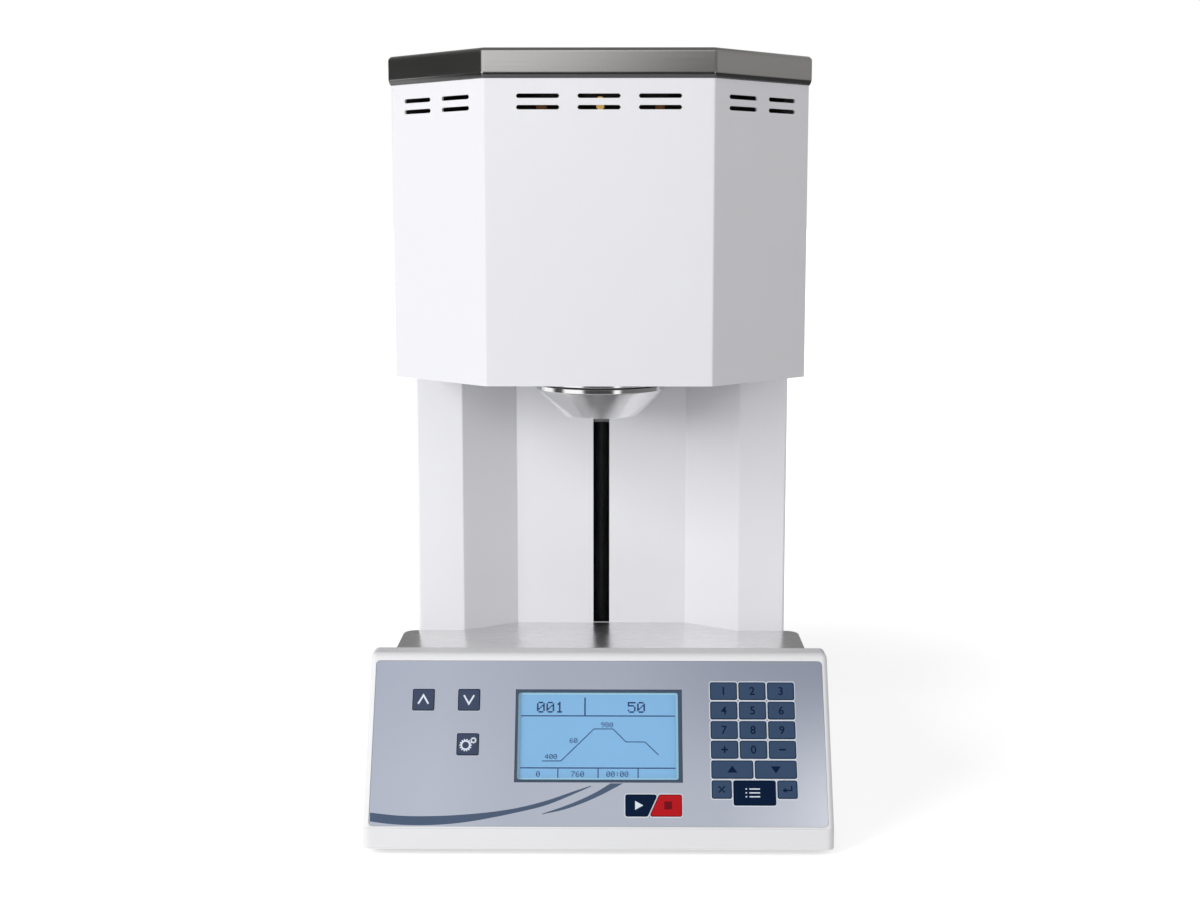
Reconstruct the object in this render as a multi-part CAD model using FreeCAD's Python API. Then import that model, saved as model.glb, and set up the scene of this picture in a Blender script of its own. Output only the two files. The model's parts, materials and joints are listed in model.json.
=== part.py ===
import FreeCAD, Part
import math
import os

# Bench furnace for firing ceramics under vacuum, in millimetres.
# X runs to the right, Y to the back and Z up from the surface that it stands on.
# Depths are measured from the front edge of the console and moved to the middle when saved.

V = FreeCAD.Vector

# Sheet, walls and clearances
sheet = 1.5
fold_radius = 2.5
moulded_wall = 3.0
seat_gap = 0.2
running_gap = 0.05
cut_reach = 6.0
same_place = 1e-4

# Feet and base pan
foot_height = 5.0
foot_side = 18.0
foot_taper = 1.5
foot_inset_side = 26.0
foot_inset_end = 24.0

# Console moulding
console_width = 318.0
base_depth = 257.0
rim_height = 14.4
rim_ledge = 1.0
rim_round = 0.8
panel_lean = 28.0
panel_length = 120.0
panel_top_round = 6.0
console_top_depth = 19.0
console_back_round = 4.0
console_back_draft = 2.0
console_side_round = 4.0
console_front_corner = 5.0

# Stainless work table
table_height = 92.0
table_thickness = 2.0
table_overhang = 1.0
table_corner = 10.0

# Column
column_width = 298.0
wing_width = 37.6
recess_lateral = 42.2
recess_depth = 28.0
arm_slot_width = 13.2
arm_slot_margin = 8.0

# Head and its stainless cap
head_front_depth = 70.0
head_facet_width = 156.0
head_bottom = 311.0
head_height = 208.2
cap_height = 20.3
cap_projection = 2.0
cap_hem_height = 3.4
cap_hem_inset = 1.3
cap_top_bevel = 2.0
cap_sheet = 1.2

# Ventilation slots under the cap
vent_length = 29.0
vent_height = 3.0
vent_pitch_across = 41.4
vent_pitch_down = 7.6
vent_chamfer = 1.0
vent_drop = 11.6
front_vent_columns = 3
side_vent_columns = 2
vent_rows = 2
rear_vent_drop = 30.0
low_vent_rise = 60.0

# Firing chamber
flange_radius = 51.0
flange_drop = 12.1
chamber_mouth_radius = 46.0
muffle_radius = 50.0
muffle_height = 111.5
muffle_roof_height = 40.0
heater_radius = 1.9
heater_count = 6
heater_low = 27.0
pot_radius = 80.0
pot_wall = 3.0
pot_floor = 6.0
pot_lid_thickness = 6.0
post_circle = 52.0
post_count = 6
post_across = 6.0
post_height = 24.0
probe_radius = 3.0
probe_reach = 20.0
probe_head_radius = 8.0
probe_head_height = 12.0

# Lift platform, turned from aluminium
platform_radius = 50.0
platform_band = 4.2
cone_height = 20.8
cone_bottom_radius = 29.0
seal_proud = 0.4
seal_width = 3.0
seal_depth = 1.0
lift_gap = 0.1
lift_travel = 170.0
pedestal_radius = 43.0
pedestal_height = 67.0
tray_radius = 41.0
tray_thickness = 6.0

# Lift drive
arm_width = 12.0
arm_depth = 18.0
arm_rise = 1.0
arm_plate_width = 40.0
arm_plate_height = 40.0
arm_plate_thickness = 8.0
screw_radius = 5.0
rod_spacing = 76.0
rod_radius = 6.0
carriage_height = 50.0
carriage_drop = 3.0
bush_wall = 7.0
bush_cut = 3.5
nut_housing = 22.5
nut_side = 16.0
nut_length = 42.0
thread_gap = 0.1
bench_clearance = 2.0
bench_plate = 8.0
bench_width = 124.0
bench_leg = 6.0
motor_side = 56.0
motor_height = 50.0
motor_chamfer = 5.0
screw_entry = 30.0
screw_end = 5.0
bracket_thickness = 10.0
bracket_width = 104.0
bracket_margin = 16.0
drive_clearance = 3.5
plate_clearance = 5.5
rear_room = 24.5
bearing_side = 22.0

# Operating panel, measured across and up the slope from its lower edge
overlay_margin = 4.2
overlay_low = 1.2
overlay_high = 114.6
overlay_corner = 3.0
overlay_thickness = 0.9
overlay_recess = 0.3
window_from_edge = 97.45
window_height = 63.9
window_up = 62.7
lens_lap = 1.0
lens_thickness = 1.4
module_margin = 4.0
module_thickness = 8.0
board_thickness = 1.6
board_margin = 5.0

# Keys
key_proud = 0.6
key_travel = 0.5
key_gap = 1.25
key_aperture_gap = 0.25
key_flange = 0.3
key_chamfer = 0.7
pad_from_edge = 48.95
pad_key_width = 18.5
pad_key_height = 12.25
pad_top_row = 93.7
pad_rows = 4
program_key_width = 28.6
program_key_height = 16.8
arrow_key_side = 15.2
arrow_outer_from_edge = 33.7
arrow_inner_from_edge = 65.2
arrow_key_up = 87.3
settings_key_up = 56.5
pair_inset = 0.85
pair_width = 38.2
start_low = 8.0
start_high = 22.7
split_low_across = 15.5
split_high_across = 22.3

# Back of the column
cover_flange = 12.0
connector_height = 48.0
connector_from_side = 57.0
switch_from_inlet = 58.0
inlet_width = 32.0
inlet_height = 26.0
inlet_wall = 2.5
inlet_depth = 18.0
inlet_floor = 2.0
inlet_flange = 5.0
inlet_flange_thickness = 2.0
blade_width = 4.0
blade_thickness = 2.0
blade_spacing = 14.0
blade_offset = 2.5
blade_recess = 6.0
switch_width = 14.0
switch_height = 24.0
switch_wall = 2.0
switch_depth = 16.0
switch_flange = 3.0
rocker_gap = 0.4
rocker_angle = 10.0
rocker_pin_radius = 1.5
rocker_pivot_depth = 3.0
port_flange_radius = 9.0
port_flange_thickness = 3.0
port_radius = 5.0
port_bore = 3.0
port_length = 17.0
port_tip = 1.0

# Control electronics
control_width = 190.0
control_depth = 110.0
control_back = 225.0
standoff_height = 8.0
standoff_side = 6.0
transformer_side = 52.0
transformer_height = 46.0
fin_count = 6
fin_pitch = 6.0
fin_thickness = 3.0
fin_height = 23.0

# Worked out from the sizes above
pan_top = foot_height + sheet
panel_base = foot_height + rim_height
panel_turn = 90.0 - panel_lean
console_top = panel_base + panel_length * math.cos(math.radians(panel_lean))
panel_top_depth = rim_ledge + panel_length * math.sin(math.radians(panel_lean))
console_back = panel_top_depth + console_top_depth
shelf_height = table_height - table_thickness
table_front = console_back + console_back_draft
back_panel_depth = base_depth + recess_depth
carriage_front = back_panel_depth + sheet + plate_clearance + arm_plate_thickness
screw_depth = carriage_front + nut_housing
lift_depth = screw_depth - drive_clearance - bracket_margin - pot_radius
body_depth = screw_depth + motor_side / 2 + rear_room
wing_inner = column_width / 2 - wing_width
panel_half = wing_inner - recess_lateral
head_top = head_bottom + head_height
facet_across = (column_width - head_facet_width) / 2
facet_turn = 45.0
head_corner_depth = head_front_depth + facet_across * math.tan(math.radians(facet_turn))
floor_top = head_bottom + sheet
chamber_bottom = floor_top + pot_floor
muffle_top = chamber_bottom + muffle_height
pot_top = muffle_top + muffle_roof_height
flange_bottom = head_bottom - flange_drop
seal_top = flange_bottom - lift_gap
platform_top = seal_top - seal_proud
band_bottom = platform_top - platform_band
cone_bottom = band_bottom - cone_height
arm_bottom = cone_bottom + arm_rise
arm_top = arm_bottom + arm_depth
carriage_top = head_bottom - carriage_drop
carriage_bottom = carriage_top - carriage_height
bench_height = carriage_bottom - lift_travel - bench_clearance
bracket_top = floor_top + bracket_thickness
cover_back = body_depth + sheet
port_x = column_width / 2 - connector_from_side
inlet_x = -port_x
switch_x = inlet_x + switch_from_inlet
overall_depth = cover_back + port_flange_thickness + port_length
overlay_width = console_width - 2 * overlay_margin
pad_centre = overlay_width / 2 - pad_from_edge
arrow_key_left = arrow_outer_from_edge - overlay_width / 2
arrow_key_right = arrow_inner_from_edge - overlay_width / 2
window_width = overlay_width - 2 * window_from_edge
stop_right = window_width / 2 - pair_inset
start_left = stop_right - pair_width
split_low = start_left + split_low_across
split_high = start_left + split_high_across
pocket_depth = overlay_thickness + overlay_recess
cap_face = key_proud - overlay_recess
cap_base = -pocket_depth - seat_gap / 2
pad_pitch_across = pad_key_width + key_gap
pad_pitch_down = pad_key_height + key_gap
pad_width = 3 * pad_key_width + 2 * key_gap

os.makedirs("parts", exist_ok=True)


def save(name, shape):
    """Writes one sub-part with the middle of the whole depth at Y = 0."""
    moved = shape.copy()
    moved.translate(V(0, -overall_depth / 2, 0))
    moved.exportStep("parts/" + name + ".step")


def box(x0, x1, y0, y1, z0, z1):
    return Part.makeBox(x1 - x0, y1 - y0, z1 - z0, V(x0, y0, z0))


def upright(radius, x, y, z0, z1):
    """An upright cylinder."""
    return Part.makeCylinder(radius, z1 - z0, V(x, y, z0))


def turned(points):
    """A solid turned about the lift axis from a profile of radius and height."""
    wire = Part.makePolygon([V(r, 0, z) for r, z in points + points[:1]])
    solid = Part.Face(wire).revolve(V(0, 0, 0), V(0, 0, 1), 360)
    solid.translate(V(0, lift_depth, 0))
    return solid


def even_turns(count):
    """Angles evenly round a circle, in radians."""
    return [2 * math.pi * i / count for i in range(count)]


def joined(shapes):
    solid = shapes[0]
    for shape in shapes[1:]:
        solid = solid.fuse(shape)
    return solid.removeSplitter()


def rounded(points, radii):
    """A closed wire through the points, with a tangent arc at each corner that has a radius."""
    count = len(points)
    corners = [V(p[0], p[1], 0) for p in points]
    ends = []
    for i, corner in enumerate(corners):
        back = (corners[i - 1] - corner).normalize()
        ahead = (corners[(i + 1) % count] - corner).normalize()
        if radii[i] == 0:
            ends.append((corner, None, corner))
            continue
        half = back.getAngle(ahead) / 2
        reach = radii[i] / math.tan(half)
        middle = (back + ahead).normalize()
        arc_point = corner + middle * (radii[i] / math.sin(half) - radii[i])
        ends.append((corner + back * reach, arc_point, corner + ahead * reach))
    edges = []
    for i, (start, arc_point, end) in enumerate(ends):
        if arc_point is not None:
            edges.append(Part.Arc(start, arc_point, end).toShape())
        following = ends[(i + 1) % count][0]
        if end.distanceToPoint(following) > 1e-6:
            edges.append(Part.LineSegment(end, following).toShape())
    return Part.Wire(edges)


def plate(points, radii, z0, z1):
    """A flat plate with rounded corners, lying level between two heights."""
    solid = Part.Face(rounded(points, radii)).extrude(V(0, 0, z1 - z0))
    solid.translate(V(0, 0, z0))
    return solid


def slab(points, z0, z1):
    """A flat plate with sharp corners."""
    return plate(points, [0] * len(points), z0, z1)


def grown(points, distances):
    """The outline with each side moved out by its own distance. The points run anticlockwise."""
    count = len(points)
    lines = []
    for i in range(count):
        x0, y0 = points[i]
        x1, y1 = points[(i + 1) % count]
        length = math.hypot(x1 - x0, y1 - y0)
        out_x, out_y = (y1 - y0) / length, (x0 - x1) / length
        lines.append((out_x, out_y, out_x * x0 + out_y * y0 + distances[i]))
    moved = []
    for i in range(count):
        a, b, c = lines[i - 1]
        d, e, f = lines[i]
        size = a * e - b * d
        moved.append(((c * e - b * f) / size, (a * f - c * d) / size))
    return moved


def chamfered(points, cut):
    """The outline with each corner cut off at a distance from its point."""
    corners = [V(x, y, 0) for x, y in points]
    found = []
    for i, corner in enumerate(corners):
        for neighbour in (corners[i - 1], corners[(i + 1) % len(corners)]):
            point = corner + (neighbour - corner).normalize() * cut
            found.append((point.x, point.y))
    return found


def rectangle(x, y, width, height):
    """Four corners, anticlockwise from the lower left."""
    left, right = x - width / 2, x + width / 2
    low, high = y - height / 2, y + height / 2
    return [(left, low), (right, low), (right, high), (left, high)]


def level_wire(outline, z):
    points = [V(x, y, z) for x, y in outline]
    return Part.makePolygon(points + points[:1])


def base_pan_outline(clearance):
    """The pan fills the console's foot and runs on under the column."""
    side = console_width / 2 - moulded_wall - seat_gap + clearance
    front = moulded_wall + seat_gap - clearance
    neck = base_depth - table_corner
    narrow = column_width / 2 + clearance
    right = [(side, front), (side, neck), (narrow, neck), (narrow, body_depth)]
    left = [(-x, y) for x, y in reversed(right)]
    return right + left


def foot_places():
    rear_x = column_width / 2 - foot_inset_side
    front_x = console_width / 2 - foot_inset_side
    rear_y = body_depth - foot_inset_end
    return [(-front_x, foot_inset_end), (front_x, foot_inset_end), (-rear_x, rear_y), (rear_x, rear_y)]


def make_base_pan():
    outline = base_pan_outline(0)
    return slab(outline, foot_height, pan_top)


def make_feet():
    feet = []
    for x, y in foot_places():
        low = level_wire(rectangle(x, y, foot_side - 2 * foot_taper, foot_side - 2 * foot_taper), 0)
        high = level_wire(rectangle(x, y, foot_side, foot_side), foot_height)
        feet.append(Part.makeLoft([low, high], True, True))
    return Part.makeCompound(feet)


def console_upper():
    """Side view of the moulding above its rim as depth and height, from the rear round to the slope."""
    return [
        (base_depth, panel_base),
        (base_depth, shelf_height),
        (table_front, shelf_height),
        (console_back, console_top),
        (panel_top_depth, console_top),
        (rim_ledge, panel_base),
    ]


def across(points, radii, half):
    """A side view of depth and height carried across to both sides."""
    block = Part.Face(rounded(points, radii)).extrude(V(0, 0, 2 * half))
    block.rotate(V(0, 0, 0), V(1, 1, 1), 120)
    block.translate(V(-half, 0, 0))
    return block


def console_plan(wall, front_corner):
    """A prism on the moulding's plan, drawn in by a wall thickness."""
    plan = rectangle(0, base_depth / 2, console_width - 2 * wall, base_depth - 2 * wall)
    rear_corner = table_corner - table_overhang - wall
    return plate(plan, [front_corner, front_corner, rear_corner, rear_corner], 0, console_top + moulded_wall)


def console_solid():
    """The moulding's outer form: a rounded desk on a rim that stands out at its foot."""
    half = console_width / 2
    upper = across(console_upper(), [0, 0, 0, console_back_round, panel_top_round, 0], half)
    upper = upper.common(console_plan(0, 0))
    upper = upper.makeFillet(console_side_round, side_edges(upper))
    rim = [(0, foot_height), (base_depth, foot_height), (base_depth, panel_base), (0, panel_base)]
    foot = across(rim, [0, 0, 0, rim_round], half).common(console_plan(0, console_front_corner))
    return joined([upper, foot])


def console_hollow():
    """The space inside the moulding, open below."""
    outline = [(0, foot_height), (base_depth, foot_height)] + console_upper()[1:]
    drawn = grown(outline, [foot_height] + [-moulded_wall] * 6)
    block = across(drawn, [0] * len(drawn), console_width / 2 - moulded_wall)
    return block.common(console_plan(moulded_wall, console_front_corner - moulded_wall))


def side_edges(solid):
    """The outline of both side walls above the foot."""
    found = []
    for edge in solid.Edges:
        bounds = edge.BoundBox
        flat = bounds.XLength < same_place
        outside = abs(abs(bounds.XMin) - console_width / 2) < same_place
        level_top = bounds.ZMin > shelf_height - same_place and bounds.ZMax > shelf_height + same_place
        on_slope = bounds.ZMin > panel_base - same_place and bounds.YMax < panel_top_depth + panel_top_round
        if flat and outside and (level_top or on_slope):
            found.append(edge)
    return found


def on_panel(shape):
    """Moves a piece drawn flat onto the sloping panel: X across, Y up the slope, Z out of it."""
    placed = shape.copy()
    placed.rotate(V(0, 0, 0), V(1, 0, 0), panel_turn)
    placed.translate(V(0, rim_ledge, panel_base))
    return placed


def panel_plate(points, radius, low, high):
    return on_panel(plate(points, [radius] * len(points), low, high))


def pad_column(column):
    return pad_centre + (column - 1) * pad_pitch_across


def pad_row(row):
    return pad_top_row - row * pad_pitch_down


def key_outlines():
    """Every key by name, with its outline on the panel."""
    keys = {}
    for digit in range(1, 10):
        row, column = divmod(digit - 1, 3)
        keys["key_" + str(digit)] = rectangle(
            pad_column(column), pad_row(row), pad_key_width, pad_key_height
        )
    last = pad_row(pad_rows - 1)
    for column, name in enumerate(["key_plus", "key_0", "key_minus"]):
        keys[name] = rectangle(pad_column(column), last, pad_key_width, pad_key_height)
    long_key = (pad_width - key_gap) / 2
    step = (long_key + key_gap) / 2
    row = pad_row(pad_rows)
    keys["key_up"] = rectangle(pad_centre - step, row, long_key, pad_key_height)
    keys["key_down"] = rectangle(pad_centre + step, row, long_key, pad_key_height)
    row = pad_row(pad_rows + 1)
    small = (pad_width - program_key_width) / 2 - key_gap
    step = (program_key_width + small) / 2 + key_gap
    middle = row + (pad_key_height - program_key_height) / 2
    keys["key_cancel"] = rectangle(pad_centre - step, row, small, pad_key_height)
    keys["key_program"] = rectangle(pad_centre, middle, program_key_width, program_key_height)
    keys["key_enter"] = rectangle(pad_centre + step, row, small, pad_key_height)
    half = key_gap / 2
    keys["key_start"] = [
        (start_left, start_low),
        (split_low - half, start_low),
        (split_high - half, start_high),
        (start_left, start_high),
    ]
    keys["key_stop"] = [
        (split_low + half, start_low),
        (stop_right, start_low),
        (stop_right, start_high),
        (split_high + half, start_high),
    ]
    side = arrow_key_side
    keys["key_lift_up"] = rectangle(arrow_key_left, arrow_key_up, side, side)
    keys["key_lift_down"] = rectangle(arrow_key_right, arrow_key_up, side, side)
    keys["key_settings"] = rectangle(arrow_key_right, settings_key_up, side, side)
    return keys


def around(outlines, margin):
    """The rectangle that holds several outlines, with a margin."""
    widths = [x for outline in outlines for x, y in outline]
    heights = [y for outline in outlines for x, y in outline]
    left, right = min(widths) - margin, max(widths) + margin
    low, high = min(heights) - margin, max(heights) + margin
    return [(left, low), (right, low), (right, high), (left, high)]


def key_groups(keys, margin):
    """The three fields of keys: the number pad, the start and stop pair, and the arrow keys."""
    pair = ["key_start", "key_stop"]
    arrows = ["key_lift_up", "key_lift_down", "key_settings"]
    pad = [name for name in keys if name not in pair + arrows]
    return [around([keys[name] for name in group], margin) for group in (pad, pair, arrows)]


def overlay_outline(clearance):
    height = overlay_high - overlay_low
    middle = (overlay_high + overlay_low) / 2
    return rectangle(0, middle, overlay_width + 2 * clearance, height + 2 * clearance)


def lens_outline(clearance):
    growth = 2 * (lens_lap + clearance)
    return rectangle(0, window_up, window_width + growth, window_height + growth)


def make_console_housing():
    shell = console_solid().cut(console_hollow())
    pan = base_pan_outline(seat_gap)
    shell = shell.cut(slab(pan, 0, pan_top))
    shell = shell.cut(panel_plate(overlay_outline(seat_gap), overlay_corner, -pocket_depth, panel_length))
    deep = -2 * moulded_wall
    shell = shell.cut(panel_plate(lens_outline(seat_gap), 0, deep, 0))
    for outline in key_groups(key_outlines(), key_gap):
        shell = shell.cut(panel_plate(outline, 0, deep, 0))
    return shell


def make_keypad_overlay():
    sheet_face = panel_plate(overlay_outline(0), overlay_corner, -pocket_depth, -overlay_recess)
    opening = rectangle(0, window_up, window_width, window_height)
    sheet_face = sheet_face.cut(panel_plate(opening, 0, -moulded_wall, moulded_wall))
    for outline in key_outlines().values():
        hole = chamfered(grown(outline, [key_aperture_gap] * len(outline)), key_chamfer)
        sheet_face = sheet_face.cut(panel_plate(hole, 0, -moulded_wall, moulded_wall))
    return sheet_face


def make_key(outline):
    """A cap with a flange that the overlay holds down, so the cap can only be pressed in."""
    foot = -moulded_wall + key_travel + running_gap
    cap = panel_plate(chamfered(outline, key_chamfer), 0, cap_base, cap_face)
    flange = panel_plate(grown(outline, [key_flange] * len(outline)), 0, foot, cap_base)
    return joined([cap, flange])


def make_display_window():
    return panel_plate(lens_outline(0), 0, -moulded_wall, -moulded_wall + lens_thickness)


def make_display_module():
    growth = 2 * module_margin
    outline = rectangle(0, window_up, window_width + growth, window_height + growth)
    return panel_plate(outline, 0, -moulded_wall - module_thickness, -moulded_wall)


def make_keypad_board():
    """One board behind the arrow keys and one, with a foot under the display, behind the rest."""
    back = -moulded_wall - board_thickness
    pad, pair, arrows = key_groups(key_outlines(), board_margin)
    foot_high = min(pair[2][1], window_up - window_height / 2 - module_margin - seat_gap)
    bent = [pair[0], (pad[1][0], pair[0][1]), pad[2], pad[3], (pad[0][0], foot_high), (pair[0][0], foot_high)]
    right = panel_plate(bent, 0, back, -moulded_wall)
    left = panel_plate(arrows, 0, back, -moulded_wall)
    return Part.makeCompound([right, left])


def make_control_board():
    """The board stands on posts over the pan and carries the transformer and a heat sink."""
    low = pan_top + standoff_height
    high = low + board_thickness
    half = control_width / 2
    front = control_back - control_depth
    inset = 2 * standoff_side
    pieces = [box(-half, half, front, control_back, low, high)]
    for x in (-half + inset, half - inset):
        for y in (front + inset, control_back - inset):
            pieces.append(slab(rectangle(x, y, standoff_side, standoff_side), pan_top, low))
    left = -half + 2 * inset
    pieces.append(
        box(left, left + transformer_side, front + inset, front + inset + transformer_side, high,
            min(high + transformer_height, shelf_height - 2 * moulded_wall))
    )
    sink_front = front + inset
    sink_back = sink_front + transformer_side
    right = half - inset
    sink = box(right - fin_count * fin_pitch, right, sink_front, sink_back, high, high + fin_thickness)
    fins = []
    for i in range(fin_count):
        x = right - i * fin_pitch
        fins.append(box(x - fin_thickness, x, sink_front, sink_back, high, high + fin_height))
    return joined(pieces + [sink] + fins)


def make_work_table():
    """A plate over the base whose tongue fills the recess between the column's wings."""
    half = console_width / 2 + table_overhang
    rear = base_depth - seat_gap
    right = [
        (half, table_front + seat_gap),
        (half, rear),
        (wing_inner - seat_gap, rear),
        (panel_half - seat_gap, back_panel_depth - seat_gap),
    ]
    left = [(-x, y) for x, y in reversed(right)]
    return plate(right + left, [0, table_corner, 0, 0, 0, 0, table_corner, 0], shelf_height, table_height)


def column_outline():
    side = column_width / 2
    return [
        (-side, base_depth),
        (-wing_inner, base_depth),
        (-panel_half, back_panel_depth),
        (panel_half, back_panel_depth),
        (wing_inner, base_depth),
        (side, base_depth),
        (side, body_depth),
        (-side, body_depth),
    ]


def head_outline():
    side = column_width / 2
    front = head_facet_width / 2
    return [
        (-front, head_front_depth),
        (front, head_front_depth),
        (side, head_corner_depth),
        (side, body_depth),
        (-side, body_depth),
        (-side, head_corner_depth),
    ]


def folded(outline, hollows, rear_side, z0, z1):
    """A sheet folded round an outline and open along its rear side. Hollows are corners that bend inwards."""
    inner_radius = fold_radius - sheet
    rear = (rear_side, rear_side + 1)
    outer = [0 if i in rear else (inner_radius if i in hollows else fold_radius) for i in range(len(outline))]
    inner = [0 if i in rear else (fold_radius if i in hollows else inner_radius) for i in range(len(outline))]
    walls = [sheet if i == rear_side else -sheet for i in range(len(outline))]
    solid = plate(outline, outer, z0, z1)
    return solid.cut(plate(grown(outline, walls), inner, z0, z1))


def make_column_casing():
    """Wings, slanted cheeks and back panel in one folded sheet, with the slot that the arm runs in."""
    casing = folded(column_outline(), (2, 3), 6, pan_top, head_bottom)
    half = arm_slot_width / 2
    slot_top = arm_top + arm_slot_margin
    return casing.cut(box(-half, half, base_depth, back_panel_depth + 2 * fold_radius, table_height, slot_top))


def vent():
    """A cutter for one level slot with cut corners, centred on X = 0 and Z = 0."""
    outline = chamfered(rectangle(0, 0, vent_length, vent_height), vent_chamfer)
    slot = slab(outline, -cut_reach, cut_reach)
    slot.rotate(V(0, 0, 0), V(1, 0, 0), 90)
    return slot


def vent_field(columns, rows):
    """Slots in rows and columns about X = 0, the first row at Z = 0 and the rest below it."""
    slots = []
    for column in range(columns):
        for row in range(rows):
            slot = vent()
            x = (column - (columns - 1) / 2) * vent_pitch_across
            slot.translate(V(x, 0, -row * vent_pitch_down))
            slots.append(slot)
    return Part.makeCompound(slots)


def make_head_casing():
    """The faceted head, with a field of slots in its front and in each slanted face."""
    casing = folded(head_outline(), (), 3, head_bottom, head_top)
    height = head_top - vent_drop
    front = vent_field(front_vent_columns, vent_rows)
    front.translate(V(0, head_front_depth, height))
    casing = casing.cut(front)
    middle_x = (column_width + head_facet_width) / 4
    middle_y = (head_front_depth + head_corner_depth) / 2
    for side in (-1, 1):
        field = vent_field(side_vent_columns, vent_rows)
        field.rotate(V(0, 0, 0), V(0, 0, 1), side * facet_turn)
        field.translate(V(side * middle_x, middle_y, height))
        casing = casing.cut(field)
    return casing


def make_head_floor():
    """The plate that closes the head below, with the chamber's mouth and holes for rods and screw."""
    inset = -sheet - seat_gap
    outline = grown(head_outline(), [inset, inset, inset, -seat_gap, inset, inset])
    floor = slab(outline, head_bottom, floor_top)
    floor = floor.cut(upright(chamber_mouth_radius, 0, lift_depth, head_bottom, floor_top))
    floor = floor.cut(upright(screw_radius + running_gap, 0, screw_depth, head_bottom, floor_top))
    for x in (-rod_spacing / 2, rod_spacing / 2):
        floor = floor.cut(upright(rod_radius + running_gap, x, screw_depth, head_bottom, floor_top))
    return floor


def cap_outline(projection):
    """The head's outline, standing out all round but flush with the cover at the back."""
    sides = [projection, projection, projection, sheet, projection, projection]
    return grown(head_outline(), sides)


def make_top_cap():
    """A lid pressed in one piece: a turned-in hem, an upright band and a bevelled upper edge."""
    top = head_top + cap_height
    levels = [
        (cap_projection - cap_hem_inset, head_top),
        (cap_projection, head_top + cap_hem_height),
        (cap_projection, top - cap_top_bevel),
        (cap_projection - cap_top_bevel, top),
    ]
    layers = []
    for (low_out, low), (high_out, high) in zip(levels, levels[1:]):
        wires = [level_wire(cap_outline(low_out), low), level_wire(cap_outline(high_out), high)]
        layers.append(Part.makeLoft(wires, True, True))
    lid = joined(layers)
    wall = cap_sheet + cap_hem_inset - cap_projection
    inside = grown(head_outline(), [-wall, -wall, -wall, sheet - cap_sheet, -wall, -wall])
    return lid.cut(slab(inside, head_top, top - cap_sheet))


def make_rear_cover():
    """A flat cover with a flange inside each side wall, slots, and cut-outs for the connectors."""
    half = column_width / 2
    inner = half - sheet - seat_gap
    cover = box(-half, half, body_depth, cover_back, pan_top, head_top)
    front = body_depth - cover_flange
    for left, right in ((-inner, sheet - inner), (inner - sheet, inner)):
        cover = cover.fuse(box(left, right, front, body_depth, pan_top, head_bottom))
    low_vents = connector_height + low_vent_rise
    for x, height, columns in (
        (0, head_top - rear_vent_drop, front_vent_columns),
        (-port_x, low_vents, side_vent_columns),
        (port_x, low_vents, side_vent_columns),
    ):
        field = vent_field(columns, vent_rows)
        field.translate(V(x, body_depth, height))
        cover = cover.cut(field)
    for x, width, depth in (
        (inlet_x, inlet_width, inlet_height),
        (switch_x, switch_width + 2 * switch_wall, switch_height + 2 * switch_wall),
    ):
        outline = rectangle(x, connector_height, width + 2 * seat_gap, depth + 2 * seat_gap)
        left, low = outline[0]
        right, high = outline[2]
        cover = cover.cut(box(left, right, body_depth - sheet, cover_back + sheet, low, high))
    start = V(port_x, body_depth - cut_reach, connector_height)
    bore = Part.makeCylinder(port_bore, 2 * cut_reach, start, V(0, 1, 0))
    return cover.cut(bore).removeSplitter()


def make_vacuum_pot():
    """The pot that holds the vacuum: a floor with the chamber's mouth and a wall."""
    inner = pot_radius - pot_wall
    return turned([
        (chamber_mouth_radius, floor_top),
        (pot_radius, floor_top),
        (pot_radius, pot_top),
        (inner, pot_top),
        (inner, chamber_bottom),
        (chamber_mouth_radius, chamber_bottom),
    ])


def make_pot_lid():
    bore = probe_radius + running_gap
    high = pot_top + pot_lid_thickness
    return turned([(bore, pot_top), (pot_radius, pot_top), (pot_radius, high), (bore, high)])


def make_lid_posts():
    """Hexagonal brass posts in a ring on the lid. Three of them show through the front slots."""
    low = pot_top + pot_lid_thickness
    corner = post_across / math.sqrt(3)
    hexagon = [(corner * math.cos(turn), corner * math.sin(turn)) for turn in even_turns(6)]
    posts = []
    for turn in even_turns(post_count):
        post = slab(hexagon, low, low + post_height)
        post.translate(V(post_circle * math.sin(turn), lift_depth - post_circle * math.cos(turn), 0))
        posts.append(post)
    return Part.makeCompound(posts)


def make_muffle_ring():
    outer = pot_radius - pot_wall - seat_gap
    return turned([
        (muffle_radius, chamber_bottom),
        (outer, chamber_bottom),
        (outer, muffle_top),
        (muffle_radius, muffle_top),
    ])


def make_muffle_roof():
    outer = pot_radius - pot_wall - seat_gap
    bore = probe_radius + running_gap
    return turned([(bore, muffle_top), (outer, muffle_top), (outer, pot_top), (bore, pot_top)])


def make_heating_rods():
    """Sheathed heating rods standing in a ring against the muffle's wall, hung from its roof."""
    circle = muffle_radius - heater_radius - running_gap
    rods = []
    for turn in even_turns(heater_count):
        x = circle * math.cos(turn)
        y = lift_depth + circle * math.sin(turn)
        rods.append(upright(heater_radius, x, y, chamber_bottom + heater_low, muffle_top))
    return Part.makeCompound(rods)


def make_thermocouple():
    """A thin sheath through the lid and the muffle's roof, with its terminal head on the lid."""
    lid = pot_top + pot_lid_thickness
    return turned([
        (0, muffle_top - probe_reach),
        (probe_radius, muffle_top - probe_reach),
        (probe_radius, lid),
        (probe_head_radius, lid),
        (probe_head_radius, lid + probe_head_height),
        (0, lid + probe_head_height),
    ])


def make_flange_ring():
    """The polished seat that the platform closes against."""
    return turned([
        (chamber_mouth_radius, flange_bottom),
        (flange_radius, flange_bottom),
        (flange_radius, head_bottom),
        (chamber_mouth_radius, head_bottom),
    ])


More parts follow.
